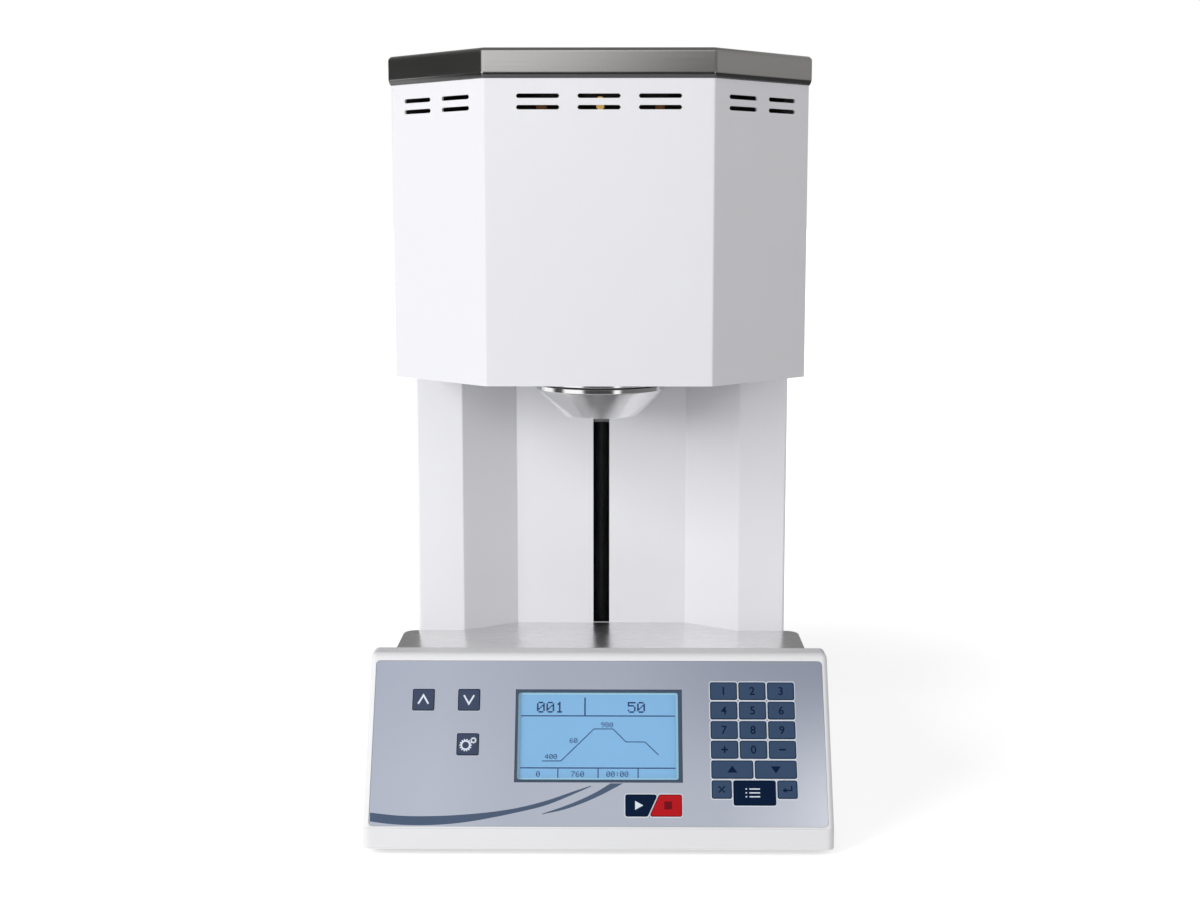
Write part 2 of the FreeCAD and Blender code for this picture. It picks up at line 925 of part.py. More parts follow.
def make_lift_platform():
    """A turned cone with a narrow band, a rebate for the seal, and a notch for the arm."""
    rebate_radius = platform_radius - seal_width
    rebate_floor = seal_top - seal_depth
    body = turned([
        (0, cone_bottom),
        (cone_bottom_radius, cone_bottom),
        (platform_radius, band_bottom),
        (platform_radius, rebate_floor),
        (rebate_radius, rebate_floor),
        (rebate_radius, platform_top),
        (0, platform_top),
    ])
    return body.cut(arm_bar(cone_bottom))


def make_seal_ring():
    outer = platform_radius
    inner = outer - seal_width
    low = seal_top - seal_depth
    return turned([(inner, low), (outer, low), (outer, seal_top), (inner, seal_top)])


def make_firing_pedestal():
    high = platform_top + pedestal_height
    return turned([(0, platform_top), (pedestal_radius, platform_top), (pedestal_radius, high), (0, high)])


def make_firing_tray():
    low = platform_top + pedestal_height
    high = low + tray_thickness
    return turned([(0, low), (tray_radius, low), (tray_radius, high), (0, high)])


def arm_bar(low):
    """The arm's bar from under the middle of the platform back to its fixing plate."""
    half = arm_width / 2
    return box(-half, half, lift_depth - half, carriage_front - arm_plate_thickness, low, arm_top)


def make_lift_arm():
    half = arm_plate_width / 2
    middle = (arm_bottom + arm_top) / 2
    low = max(middle - arm_plate_height / 2, carriage_bottom)
    high = min(middle + arm_plate_height / 2, carriage_top)
    fixing = box(-half, half, carriage_front - arm_plate_thickness, carriage_front, low, high)
    return joined([arm_bar(arm_bottom), fixing])


def square_post(side, z0, z1):
    """A square block about the screw's axis."""
    return slab(rectangle(0, screw_depth, side, side), z0, z1)


def make_carriage():
    """A beam with a square nut housing in its middle, running on the guide rods."""
    side = rod_spacing / 2
    reach = rod_radius + bush_wall
    low, high = carriage_bottom, carriage_top
    middle = box(-nut_housing, nut_housing, carriage_front, screw_depth + nut_housing, low, high)
    ends = chamfered(rectangle(0, screw_depth, rod_spacing + 2 * reach, 2 * reach), bush_cut)
    beam = slab(ends, low, high)
    block = joined([middle, beam])
    for x in (-side, side):
        block = block.cut(upright(rod_radius + running_gap, x, screw_depth, low, high))
    return block.cut(square_post(nut_side, low, high))


def make_lift_nut():
    nut = square_post(nut_side, carriage_bottom, carriage_bottom + nut_length)
    return nut.cut(upright(screw_radius + thread_gap, 0, screw_depth, carriage_bottom, carriage_top))


def make_guide_rods():
    low = bench_height - bench_plate
    return Part.makeCompound(
        [upright(rod_radius, x, screw_depth, low, bracket_top) for x in (-rod_spacing / 2, rod_spacing / 2)]
    )


def make_lead_screw():
    low = bench_height - bench_plate - screw_entry
    return upright(screw_radius, 0, screw_depth, low + running_gap, bracket_top + screw_end)


def make_drive_frame():
    """The bench over the motor and the bracket on the head's floor, which hold the rods."""
    half = bench_width / 2
    low = bench_height - bench_plate
    front = screw_depth - motor_side / 2
    back = screw_depth + motor_side / 2
    bench = joined([
        box(-half, half, front, back, low, bench_height),
        box(-half, -half + bench_leg, front, back, pan_top, low),
        box(half - bench_leg, half, front, back, pan_top, low),
    ])
    bench = bench.cut(upright(screw_radius + running_gap, 0, screw_depth, low, bench_height))
    outline = rectangle(0, screw_depth, bracket_width, 2 * bracket_margin)
    bracket = slab(outline, floor_top, bracket_top)
    bracket = bracket.cut(square_post(bearing_side, floor_top, bracket_top))
    for x in (-rod_spacing / 2, rod_spacing / 2):
        bench = bench.cut(upright(rod_radius, x, screw_depth, low, bench_height))
        bracket = bracket.cut(upright(rod_radius, x, screw_depth, floor_top, bracket_top))
    return Part.makeCompound([bench, bracket])


def make_lift_motor():
    high = bench_height - bench_plate
    low = high - motor_height
    outline = chamfered(rectangle(0, screw_depth, motor_side, motor_side), motor_chamfer)
    body = slab(outline, low, high)
    return body.cut(upright(screw_radius + running_gap, 0, screw_depth, high - screw_entry, high))


def make_screw_bearing():
    block = square_post(bearing_side, floor_top, bracket_top)
    return block.cut(upright(screw_radius + running_gap, 0, screw_depth, floor_top, bracket_top))


def rear_box(x, width, height, y0, y1):
    """A block centred on a connector's place on the rear cover."""
    low, high = connector_height - height / 2, connector_height + height / 2
    return box(x - width / 2, x + width / 2, y0, y1, low, high)


def make_mains_inlet():
    """A flanged socket with three blades set back from its mouth."""
    front = cover_back - inlet_depth
    face = cover_back + inlet_flange_thickness
    body = rear_box(inlet_x, inlet_width, inlet_height, front, cover_back)
    wide, tall = inlet_width + 2 * inlet_flange, inlet_height + 2 * inlet_flange
    flange = rear_box(inlet_x, wide, tall, cover_back, face)
    narrow, short = inlet_width - 2 * inlet_wall, inlet_height - 2 * inlet_wall
    shell = body.fuse(flange).cut(rear_box(inlet_x, narrow, short, front + inlet_floor, face))
    tip = face - blade_recess
    blades = []
    low = connector_height - blade_offset
    places = [(0, connector_height + blade_offset), (-blade_spacing / 2, low), (blade_spacing / 2, low)]
    for offset, z in places:
        x = inlet_x + offset
        blades.append(
            box(x - blade_thickness / 2, x + blade_thickness / 2, front + inlet_floor, tip,
                z - blade_width / 2, z + blade_width / 2)
        )
    return joined([shell] + blades)


def make_switch_frame():
    front = cover_back - switch_depth
    face = cover_back + sheet
    wide, tall = switch_width + 2 * switch_wall, switch_height + 2 * switch_wall
    body = rear_box(switch_x, wide, tall, front, cover_back)
    flange = rear_box(switch_x, wide + 2 * switch_flange, tall + 2 * switch_flange, cover_back, face)
    hollow = rear_box(switch_x, switch_width, switch_height, front + switch_wall, face)
    frame = joined([body, flange]).cut(hollow)
    return frame.cut(rocker_pin(rocker_pin_radius + running_gap, switch_wall))


def rocker_pin(radius, overhang):
    """The rocker's pivot pin, across the switch."""
    length = switch_width + 2 * overhang
    pivot = V(switch_x - length / 2, cover_back - rocker_pivot_depth, connector_height)
    return Part.makeCylinder(radius, length, pivot, V(1, 0, 0))


def make_power_rocker():
    """A rocker with two faces that meet in a shallow valley and round ends about its pivot."""
    radius = switch_height / 2 - rocker_gap
    valley = cover_back
    rise = radius * math.sin(math.radians(rocker_angle))
    pivot_y = cover_back - rocker_pivot_depth
    width = switch_width - 2 * rocker_gap
    drum = Part.makeCylinder(radius, width, V(switch_x - width / 2, pivot_y, connector_height), V(1, 0, 0))
    profile = [
        (pivot_y - rocker_pivot_depth, -switch_height),
        (pivot_y - rocker_pivot_depth, switch_height),
        (valley + 2 * rise, switch_height),
        (valley, 0),
        (valley + 2 * rise, -switch_height),
    ]
    wire = Part.makePolygon([V(0, y, z + connector_height) for y, z in profile + profile[:1]])
    wedge = Part.Face(wire).extrude(V(width, 0, 0))
    wedge.translate(V(switch_x - width / 2, 0, 0))
    body = drum.common(wedge)
    pin = rocker_pin(rocker_pin_radius, switch_wall / 2)
    rocker = joined([body, pin])
    rocker.rotate(V(switch_x, pivot_y, connector_height), V(1, 0, 0), rocker_angle)
    return rocker


def make_vacuum_port():
    """A hose nozzle: a round flange on the cover and a tube with a chamfered tip."""
    face = cover_back + port_flange_thickness
    shoulder = face + port_length - port_tip
    back = V(0, 1, 0)

    def middle(depth):
        return V(port_x, depth, connector_height)

    flange = Part.makeCylinder(port_flange_radius, port_flange_thickness, middle(cover_back), back)
    tube = Part.makeCylinder(port_radius, port_length - port_tip, middle(face), back)
    tip = Part.makeCone(port_radius, port_radius - port_tip, port_tip, middle(shoulder), back)
    bore = Part.makeCylinder(port_bore, port_flange_thickness + port_length, middle(cover_back), back)
    return joined([flange, tube, tip]).cut(bore)


def build():
    """Makes every sub-part, each under its own name."""
    parts = {
        "base_pan": make_base_pan(),
        "feet": make_feet(),
        "console_housing": make_console_housing(),
        "keypad_overlay": make_keypad_overlay(),
        "display_window": make_display_window(),
        "display_module": make_display_module(),
        "keypad_board": make_keypad_board(),
        "control_board": make_control_board(),
        "work_table": make_work_table(),
        "column_casing": make_column_casing(),
        "head_casing": make_head_casing(),
        "head_floor": make_head_floor(),
        "top_cap": make_top_cap(),
        "rear_cover": make_rear_cover(),
        "vacuum_pot": make_vacuum_pot(),
        "pot_lid": make_pot_lid(),
        "lid_posts": make_lid_posts(),
        "muffle_ring": make_muffle_ring(),
        "muffle_roof": make_muffle_roof(),
        "heating_rods": make_heating_rods(),
        "thermocouple": make_thermocouple(),
        "flange_ring": make_flange_ring(),
        "lift_platform": make_lift_platform(),
        "seal_ring": make_seal_ring(),
        "firing_pedestal": make_firing_pedestal(),
        "firing_tray": make_firing_tray(),
        "lift_arm": make_lift_arm(),
        "carriage": make_carriage(),
        "lift_nut": make_lift_nut(),
        "guide_rods": make_guide_rods(),
        "lead_screw": make_lead_screw(),
        "drive_frame": make_drive_frame(),
        "lift_motor": make_lift_motor(),
        "screw_bearing": make_screw_bearing(),
        "mains_inlet": make_mains_inlet(),
        "switch_frame": make_switch_frame(),
        "power_rocker": make_power_rocker(),
        "vacuum_port": make_vacuum_port(),
    }
    for name, outline in key_outlines().items():
        parts[name] = make_key(outline)
    return parts


for part_name, part_shape in build().items():
    save(part_name, part_shape)
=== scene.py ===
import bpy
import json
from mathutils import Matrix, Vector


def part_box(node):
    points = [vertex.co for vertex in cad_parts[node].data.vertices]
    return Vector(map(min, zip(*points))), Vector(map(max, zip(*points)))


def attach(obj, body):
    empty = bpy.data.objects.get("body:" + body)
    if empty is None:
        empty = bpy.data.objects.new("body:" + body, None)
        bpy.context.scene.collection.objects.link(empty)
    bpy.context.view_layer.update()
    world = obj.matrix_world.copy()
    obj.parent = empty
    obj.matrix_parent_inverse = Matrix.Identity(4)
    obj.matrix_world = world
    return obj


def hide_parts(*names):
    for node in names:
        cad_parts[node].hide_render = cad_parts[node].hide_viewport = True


bl_info = {
    "name": "Vacuum ceramic furnace",
    "version": (1, 0, 0),
    "blender": (4, 5, 0),
    "location": "View3D > Sidebar > Furnace",
    "description": "Keys, print, display, brushed and turned metal and finishes around the furnace's frame",
    "category": "Object",
}

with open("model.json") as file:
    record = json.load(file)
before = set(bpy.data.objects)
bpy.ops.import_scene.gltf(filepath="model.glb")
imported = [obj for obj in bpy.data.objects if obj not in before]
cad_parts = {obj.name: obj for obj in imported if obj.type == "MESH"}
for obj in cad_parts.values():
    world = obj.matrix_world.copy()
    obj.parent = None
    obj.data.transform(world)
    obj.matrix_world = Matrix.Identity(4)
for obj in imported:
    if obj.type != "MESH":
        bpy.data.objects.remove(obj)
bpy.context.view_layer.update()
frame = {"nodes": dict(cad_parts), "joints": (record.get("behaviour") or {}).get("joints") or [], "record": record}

import json
import math

import bmesh
import bpy
import numpy as np
from bpy.props import FloatProperty, FloatVectorProperty, PointerProperty
from mathutils import Vector
from mathutils.geometry import convex_hull_2d

MM = 0.001
SHARP = math.radians(32)
NO_DISTANCE = 1e-7
NEAR = 0.01 * MM
PREFIX = "furnace_"


# Values a user may change


def colour(name, description, default):
    """A colour property, given from 0 to 255."""
    return FloatVectorProperty(
        name=name, description=description, size=3, min=0, max=1, subtype="COLOR_GAMMA",
        default=tuple(value / 255 for value in default),
    )


def length(name, description, default):
    """A length property, given in millimetres."""
    return FloatProperty(
        name=name, description=description, default=default * MM, min=0, precision=5,
        unit="LENGTH", subtype="DISTANCE",
    )


class FurnaceColours(bpy.types.PropertyGroup):
    """Colours of the furnace's finishes, as they look on a screen."""

    paint: colour("Paint", "Powder coat of the column and the rear cover", (244, 244, 248))
    # Painted shade: the head has the same white powder coat as the column, set darker here for the shade on the
    # head.
    head_paint: colour("Head paint", "Powder coat of the head", (226, 226, 230))
    moulding: colour("Moulding", "Moulded console", (232, 232, 234))
    film: colour("Film", "Metallic film of the operating panel", (155, 162, 179))
    # Painted sheen: the lighter colour that the film takes where a reflection is painted across the panel.
    film_sheen: colour("Film, light", "Lighter drift of the film", (230, 235, 247))
    stripe: colour("Stripe", "Sweeping stripes on the film", (76, 90, 112))
    halo: colour("Halo", "Thin light print round each key", (214, 220, 230))
    key: colour("Key", "Slate keys", (56, 74, 100))
    side_key: colour("Side keys", "Keys left of the display", (62, 72, 94))
    key_rim: colour("Key rim", "Darker outline of the slate keys", (34, 48, 70))
    navy: colour("Navy", "Start key, large key and dark print", (12, 28, 54))
    red: colour("Red", "Stop key", (172, 26, 32))
    red_dark: colour("Dark red", "Sign on the stop key", (104, 18, 26))
    screen: colour("Screen", "Lit ground of the display", (122, 174, 216))
    screen_rim: colour("Screen rim", "Brighter rim of the lit ground", (158, 208, 230))
    screen_print: colour("Screen print", "Figures and lines on the display", (22, 58, 112))
    screen_frame: colour("Screen frame", "Dark frame round the display", (62, 78, 100))


class FurnaceSizes(bpy.types.PropertyGroup):
    """Sizes of the pieces that the scene adds to the frame."""

    key_corner: length("Key corner", "Radius of a key's corners", 1.3)
    key_dome: length("Key dome", "Rise of a key's face from its edge to its middle", 0.16)
    key_line: length("Key outline", "Width of the darker line round a key", 0.55)
    halo_width: length("Halo width", "Width of the light print round a key", 0.55)
    halo_gap: length("Halo gap", "Space between a key and its halo", 0.14)
    print_height: length("Print height", "How far print stands over its ground", 0.03)
    digit_height: length("Digit height", "Height of the digits on the keys", 5.6)
    lid_round: length("Lid rounding", "Radius of the lid's pressed edges", 1.1)
    fold_round: length("Fold rounding", "Radius of the lid's upright folds", 2.2)
    table_round: length("Table rounding", "Radius of the work table's upper edge", 0.9)
    screw_radius: length("Screw radius", "Radius of the screw heads on the rear cover", 3.0)


def colours():
    """The colours as the user has set them."""
    return bpy.context.scene.furnace_colours


def sizes():
    """The sizes as the user has set them."""
    return bpy.context.scene.furnace_sizes


# Places on the frame


def read(items, name, width=3):
    """A value of each vertex or face as rows of a table."""
    values = np.zeros(len(items) * width, np.float32)
    items.foreach_get(name, values)
    return values.reshape(-1, width).astype(float)


def node_points(node):
    """A node's vertices."""
    return read(frame["nodes"][node].data.vertices, "co")


def joint_axis(name):
    """The unit direction of a joint."""
    axis = np.array([joint["axis"] for joint in frame["joints"] if joint["name"] == name][0], float)
    return axis / np.linalg.norm(axis)


OUT = joint_axis("key_1_press")
ACROSS = np.array([1.0, 0.0, 0.0])
UP = np.cross(OUT, ACROSS)
PANEL = np.array([ACROSS, UP, OUT])
KEYS = sorted(node for node in frame["nodes"] if node.startswith("key_"))
SIDE_KEYS = ("key_lift_up", "key_lift_down", "key_settings")
SLOTS = {part["node"]: part["material_slot"] for part in frame["record"]["subparts"]}


def panel_extent(node):
    """Lowest and highest value of a node across the panel, up it and out of it."""
    points = node_points(node) @ PANEL.T
    return points.min(0), points.max(0)


FILM_LOW, FILM_HIGH = panel_extent("keypad_overlay")
FILM_EDGE_UP = 1.2 * MM
FILM_TOP = FILM_HIGH[2]
PANEL_START = np.array([0.0, FILM_LOW[1] - FILM_EDGE_UP])


def on_panel(points):
    """Points given across, up and out of the panel, as points of the frame."""
    return np.asarray(points, float) @ PANEL


def panel_mm(points):
    """Places on the panel in millimetres across and up from the slope's lower edge, in the panel's metres."""
    return np.asarray(points, float) * MM + PANEL_START


# Shapes


def grid_faces(rows, columns, close_rows=False):
    """Quads between neighbouring rows of a grid, numbered row by row and closed along each row."""
    row, column = np.meshgrid(
        np.arange(rows if close_rows else rows - 1), np.arange(columns), indexing="ij")
    start, end = row * columns, (row + 1) % rows * columns
    after = (column + 1) % columns
    return np.stack([start + column, start + after, end + after, end + column], -1).reshape(-1, 4).tolist()


def loft(rings, ends=True):
    """A skin over rings of as many points each, with a flat face on each end."""
    rings = np.asarray(rings, float)
    count, size = rings.shape[:2]
    faces = grid_faces(count, size)
    if ends:
        faces.append(list(range(size - 1, -1, -1)))
        faces.append(list(range((count - 1) * size, count * size)))
    return rings.reshape(-1, 3), faces


def hoop(rings):
    """A skin over rings that comes back to its first ring, as round a tyre."""
    rings = np.asarray(rings, float)
    return rings.reshape(-1, 3), grid_faces(*rings.shape[:2], close_rows=True)


def at_height(outline, height):
    """A flat outline with the same third coordinate at each point."""
    return np.column_stack([outline, np.full(len(outline), height)])


def prism(outline, low, high):
    """An outline carried straight up from one height to another."""
    return loft([at_height(outline, low), at_height(outline, high)])


def collar(outer, inner, low, high):
    """A flat frame between two outlines of as many points each."""
    edges = ((outer, low), (outer, high), (inner, high), (inner, low))
    return hoop([at_height(outline, height) for outline, height in edges])


def together(shapes):
    """Several shapes as one: each face's numbers are moved on by the points before it."""
    points, faces, start = [], [], 0
    for shape_points, shape_faces in shapes:
        points.append(shape_points)
        faces += [[start + number for number in face] for face in shape_faces]
        start += len(shape_points)
    return np.concatenate(points), faces


def rounded_outline(corners, out=0.0, radius=0.0, steps=7):
    """A polygon with its sides moved out and its outward corners rounded.

    A corner moves along the sum of its sides' normals over one plus the cosine between them. An arc's centre
    lies back from it by the same rule, and its points turn evenly from one normal to the other.
    """
    corners = np.asarray(corners, float)
    along = np.roll(corners, -1, 0) - corners
    along /= np.linalg.norm(along, axis=1, keepdims=True)
    after = np.stack([along[:, 1], -along[:, 0]], 1)
    before = np.roll(after, 1, 0)
    cosine = (before * after).sum(1)
    turn = np.arctan2(before[:, 0] * after[:, 1] - before[:, 1] * after[:, 0], cosine)
    mitre = (before + after) / (1 + cosine)[:, None]
    radius = np.where(turn > 0, radius, 0.0)
    centre = corners + mitre * (out - radius)[:, None]
    angle = np.arctan2(before[:, 1], before[:, 0])[:, None] + turn[:, None] * np.linspace(0, 1, steps)
    arc = np.stack([np.cos(angle), np.sin(angle)], -1)
    return (centre[:, None] + radius[:, None, None] * arc).reshape(-1, 2)


def rectangle(left, right, low, high):
    """Four corners, anticlockwise from the lower left."""
    return np.array([(left, low), (right, low), (right, high), (left, high)], float)


def circle(count, start=0.0):
    """Unit directions spread evenly round a circle."""
    angle = start + np.linspace(0, 2 * math.pi, count, endpoint=False)
    return np.stack([np.cos(angle), np.sin(angle)], -1)


def distance_run(points):
    """The distance run along a line at each of its points."""
    return np.concatenate([[0], np.cumsum(np.linalg.norm(np.diff(points, axis=0), axis=1))])


def turned(profile, centre, sides=96, close=False):
    """A profile of radius and height carried round an upright axis.

    The seam is at the back. A radius of nothing at an end makes a pole.
    """
    profile = np.asarray(profile, float)
    rings = np.empty((len(profile), sides, 3))
    rings[:, :, :2] = profile[:, None, :1] * circle(sides, math.pi / 2)[None] + np.asarray(centre[:2], float)
    rings[:, :, 2] = profile[:, 1:2]
    faces = grid_faces(len(profile), sides, close_rows=close)
    uv = np.stack(np.broadcast_arrays(np.arange(sides)[None] / sides, distance_run(profile)[:, None]), -1)
    return rings.reshape(-1, 3), faces, uv.reshape(-1, 2)


def softened(profile, radius, steps=5, closed=False):
    """A profile with each bend of more than a few degrees replaced by a curve.

    The curve is a parabola from one cut point to the other, with the old corner as its handle.
    """
    profile = np.asarray(profile, float)
    back = np.roll(profile, 1, 0) - profile
    ahead = np.roll(profile, -1, 0) - profile
    size_back = np.linalg.norm(back, axis=1, keepdims=True)
    size_ahead = np.linalg.norm(ahead, axis=1, keepdims=True)
    reach = np.minimum(radius, 0.45 * np.minimum(size_back, size_ahead))
    if not closed:
        reach[[0, -1]] = 0
    start = profile + back / np.maximum(size_back, NO_DISTANCE) * reach
    end = profile + ahead / np.maximum(size_ahead, NO_DISTANCE) * reach
    t = np.linspace(0, 1, steps)[None, :, None]
    curve = (1 - t) ** 2 * start[:, None] + 2 * t * (1 - t) * profile[:, None] + t**2 * end[:, None]
    return curve.reshape(-1, 2)


def along_curve(points, count):
    """A smooth line through points: each coordinate is a cubic in the distance run, with matching slopes."""
    points = np.asarray(points, float)
    run = distance_run(points)
    slope = np.gradient(points, run, axis=0)
    where = np.linspace(0, run[-1], count)
    left = np.clip(np.searchsorted(run, where, side="right") - 1, 0, len(run) - 2)
    span = (run[left + 1] - run[left])[:, None]
    t = (where - run[left])[:, None] / span
    return (
        (2 * t**3 - 3 * t**2 + 1) * points[left]
        + (t**3 - 2 * t**2 + t) * span * slope[left]
        + (3 * t**2 - 2 * t**3) * points[left + 1]
        + (t**3 - t**2) * span * slope[left + 1]
    )


def ribbon(upper, lower, low, high, count=72):
    """A flat print between two smooth edges."""
    edge_one, edge_two = along_curve(upper, count), along_curve(lower, count)
    return prism(np.concatenate([edge_two, edge_one[::-1]]), low, high)


def stroke(points, width, low, high):
    """A line of even width: each point moves to both sides along its mitre."""
    points = np.asarray(points, float)
    along = np.diff(points, axis=0)
    along /= np.linalg.norm(along, axis=1, keepdims=True)
    normal = np.stack([-along[:, 1], along[:, 0]], 1)
    before, after = np.concatenate([normal[:1], normal]), np.concatenate([normal, normal[-1:]])
    side = (before + after) / (1 + (before * after).sum(1))[:, None] * width / 2
    return prism(np.concatenate([points - side, (points + side)[::-1]]), low, high)


def text_shape(text, height, centre, low, high, weight):
    """Figures in the built-in typeface as solid print of a given height about a point."""
    curve = bpy.data.curves.new("figures", "FONT")
    curve.body = text
    curve.extrude = 0.5
    curve.offset = weight
    obj = bpy.data.objects.new("figures", curve)
    bpy.context.scene.collection.objects.link(obj)
    bpy.context.view_layer.update()
    mesh = bpy.data.meshes.new_from_object(obj.evaluated_get(bpy.context.evaluated_depsgraph_get()))
    points = read(mesh.vertices, "co")
    faces = [list(face.vertices) for face in mesh.polygons]
    bpy.data.objects.remove(obj)
    bpy.data.curves.remove(curve)
    bpy.data.meshes.remove(mesh)
    least, most = points.min(0), points.max(0)
    points[:, :2] = (points[:, :2] - (least + most)[:2] / 2) * height / (most[1] - least[1]) + centre
    points[:, 2] = low + (points[:, 2] - least[2]) / (most[2] - least[2]) * (high - low)
    return points, faces


def new_object(name, shape, finish):
    """A shape as an object of the scene, with its place in its mesh."""
    mesh = bpy.data.meshes.new(name)
    mesh.from_pydata(np.asarray(shape[0]).tolist(), [], shape[1])
    mesh.materials.append(finish)
    obj = bpy.data.objects.new(name, mesh)
    bpy.context.scene.collection.objects.link(obj)
    return obj


def add_piece(name, shape, body, finish, replaces=(), uv=None, rim=None, smooth=True):
    """Puts a shape into the scene as one closed mesh that rides on a body of the frame."""
    obj = new_object(name, shape, finish)
    mesh = obj.data
    if rim is not None:
        mesh.attributes.new("rim", "FLOAT", "POINT").data.foreach_set("value", np.asarray(rim, np.float32))
    if uv is not None:
        loops = np.zeros(len(mesh.loops), np.int32)
        mesh.loops.foreach_get("vertex_index", loops)
        layer = mesh.uv_layers.new(name="surface")
        layer.data.foreach_set("uv", np.asarray(uv, np.float32)[loops].ravel())
    work = bmesh.new()
    work.from_mesh(mesh)
    bmesh.ops.remove_doubles(work, verts=work.verts, dist=NO_DISTANCE)
    bmesh.ops.recalc_face_normals(work, faces=work.faces)
    work.to_mesh(mesh)
    work.free()
    if smooth:
        mesh.shade_smooth()
        mesh.set_sharp_from_angle(angle=SHARP)
    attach(obj, body)
    if replaces:
        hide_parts(*replaces)
    return obj


def add_print(name, shapes, body, finish):
    """Print laid on the panel, given across, up and out of it."""
    points, faces = together(shapes)
    return add_piece(name, (on_panel(points), faces), body, finish, smooth=False)


# Finishes


def shade(value):
    """A screen colour as the linear colour that a shader takes."""
    value = np.asarray(value, float)[:3]
    linear = np.where(value <= 0.04045, value / 12.92, ((value + 0.055) / 1.055) ** 2.4)
    return (*linear.tolist(), 1.0)


def add_node(tree, kind, inputs=(), **settings):
    """A node with its settings. An input is a constant, an output, or a node for its first output."""
    node = tree.nodes.new("ShaderNode" + kind)
    for name, value in settings.items():
        setattr(node, name, value)
    for key, value in dict(inputs).items():
        if isinstance(value, bpy.types.Node):
            value = value.outputs[0]
        if isinstance(value, bpy.types.NodeSocket):
            tree.links.new(value, node.inputs[key])
        else:
            node.inputs[key].default_value = value
    return node


def mix(tree, share, first, second):
    """The output that runs from one colour to another."""
    return add_node(tree, "Mix", {0: share, 6: first, 7: second}, data_type="RGBA").outputs[2]


def coordinates(tree):
    """A point's three object coordinates."""
    place = add_node(tree, "TexCoord")
    return add_node(tree, "SeparateXYZ", {0: place.outputs["Object"]}).outputs


def ramp(tree, share, stops, half):
    """A curve through stops of place and level, over places from minus half to half."""
    node = add_node(tree, "ValToRGB", {0: share})
    elements = node.color_ramp.elements
    while len(elements) < len(stops):
        elements.new(0.5)
    for element, (place, _) in zip(elements, stops):
        element.position = (place + half) / (2 * half)
    for element, (_, level) in zip(elements, stops):
        element.color = (level, level, level, 1)
    return node.outputs[0]


GROUP_SOCKETS = {
    "INPUT": {
        "Vector": "Vector", "Stretch": "Vector", "Broad scale": "Float", "Fine scale": "Float",
        "Colour": "Color", "Second colour": "Color", "Low roughness": "Float", "High roughness": "Float",
        "Depth": "Float",
    },
    "OUTPUT": {"Colour": "Color", "Roughness": "Float", "Normal": "Vector"},
}


def surface_group():
    """Stretched noise in two sizes.

    The broad one drifts between two colours, and the fine one moves roughness and height.
    """
    found = bpy.data.node_groups.get("surface_detail")
    if found:
        return found
    group = bpy.data.node_groups.new("surface_detail", "ShaderNodeTree")
    for way, sockets in GROUP_SOCKETS.items():
        for label, kind in sockets.items():
            group.interface.new_socket(name=label, in_out=way, socket_type="NodeSocket" + kind)
    given = group.nodes.new("NodeGroupInput").outputs
    place = add_node(group, "VectorMath", {0: given["Vector"], 1: given["Stretch"]}, operation="MULTIPLY")
    broad = add_node(group, "TexNoise", {"Vector": place, "Scale": given["Broad scale"], "Detail": 3.0})
    fine = add_node(group, "TexNoise", {"Vector": place, "Scale": given["Fine scale"], "Detail": 4.0})
    spread = add_node(group, "MapRange", {"Value": broad, "From Min": 0.3, "From Max": 0.7})
    part = add_node(group, "Math", {0: fine, 1: 0.35, 2: 0.0}, operation="MULTIPLY_ADD")
    share = add_node(group, "Math", {0: spread, 1: 0.65, 2: part}, operation="MULTIPLY_ADD")
    rough = add_node(group, "MapRange", {
        "Value": fine, "From Min": 0.3, "From Max": 0.7,
        "To Min": given["Low roughness"], "To Max": given["High roughness"],
    })
    bump = add_node(group, "Bump", {"Strength": 1.0, "Distance": given["Depth"], "Height": fine})
    end = group.nodes.new("NodeGroupOutput").inputs
    group.links.new(mix(group, share, given["Colour"], given["Second colour"]), end["Colour"])
    group.links.new(rough.outputs[0], end["Roughness"])
    group.links.new(bump.outputs[0], end["Normal"])
    return group


def once(make):
    """Makes a finish at its first call and finds it by its name after that.

    The frame brings plain finishes under the slots' names, so the names given here have a prefix.
    """
    def get(name, *values, **options):
        """The finish of a name."""
        return bpy.data.materials.get(PREFIX + name) or make(name, *values, **options)

    return get


@once
def surface(name, first, second, metallic=0.0, rough=(0.4, 0.5), depth=0.01, broad=12.0, fine=900.0,
            stretch=(1, 1, 1), coat=0.0, source="Object", shine=0.5):
    """A finish from two colours, a range of roughness and the depth of its texture in millimetres."""
    material = bpy.data.materials.new(PREFIX + name)
    material.use_nodes = True
    tree = material.node_tree
    place = add_node(tree, "TexCoord")
    detail = add_node(tree, "Group", {
        "Vector": place.outputs[source], "Stretch": stretch, "Broad scale": broad, "Fine scale": fine,
        "Colour": shade(first), "Second colour": shade(second),
        "Low roughness": rough[0], "High roughness": rough[1], "Depth": depth * MM,
    }, node_tree=surface_group())
    inputs = tree.nodes["Principled BSDF"].inputs
    for given, taken in (("Colour", "Base Color"), ("Roughness", "Roughness"), ("Normal", "Normal")):
        tree.links.new(detail.outputs[given], inputs[taken])
    for label, value in (("Metallic", metallic), ("Specular IOR Level", shine), ("Coat Weight", coat)):
        inputs[label].default_value = value
    return material


def grey(level, tint=0.0):
    """A grey from 0 to 255, warmer with a positive tint and cooler with a negative one."""
    return ((level + tint) / 255, level / 255, (level - tint) / 255)


def tuned(value, factor):
    """A screen colour made lighter or darker by a factor."""
    return tuple(min(1.0, part * factor) for part in value[:3])


def tint_base(material, share, value):
    """Turns a finish's base colour into another one by a mask."""
    tree = material.node_tree
    base = tree.nodes["Principled BSDF"].inputs["Base Color"]
    tree.links.new(mix(tree, share, base.links[0].from_socket, value), base)
    return material


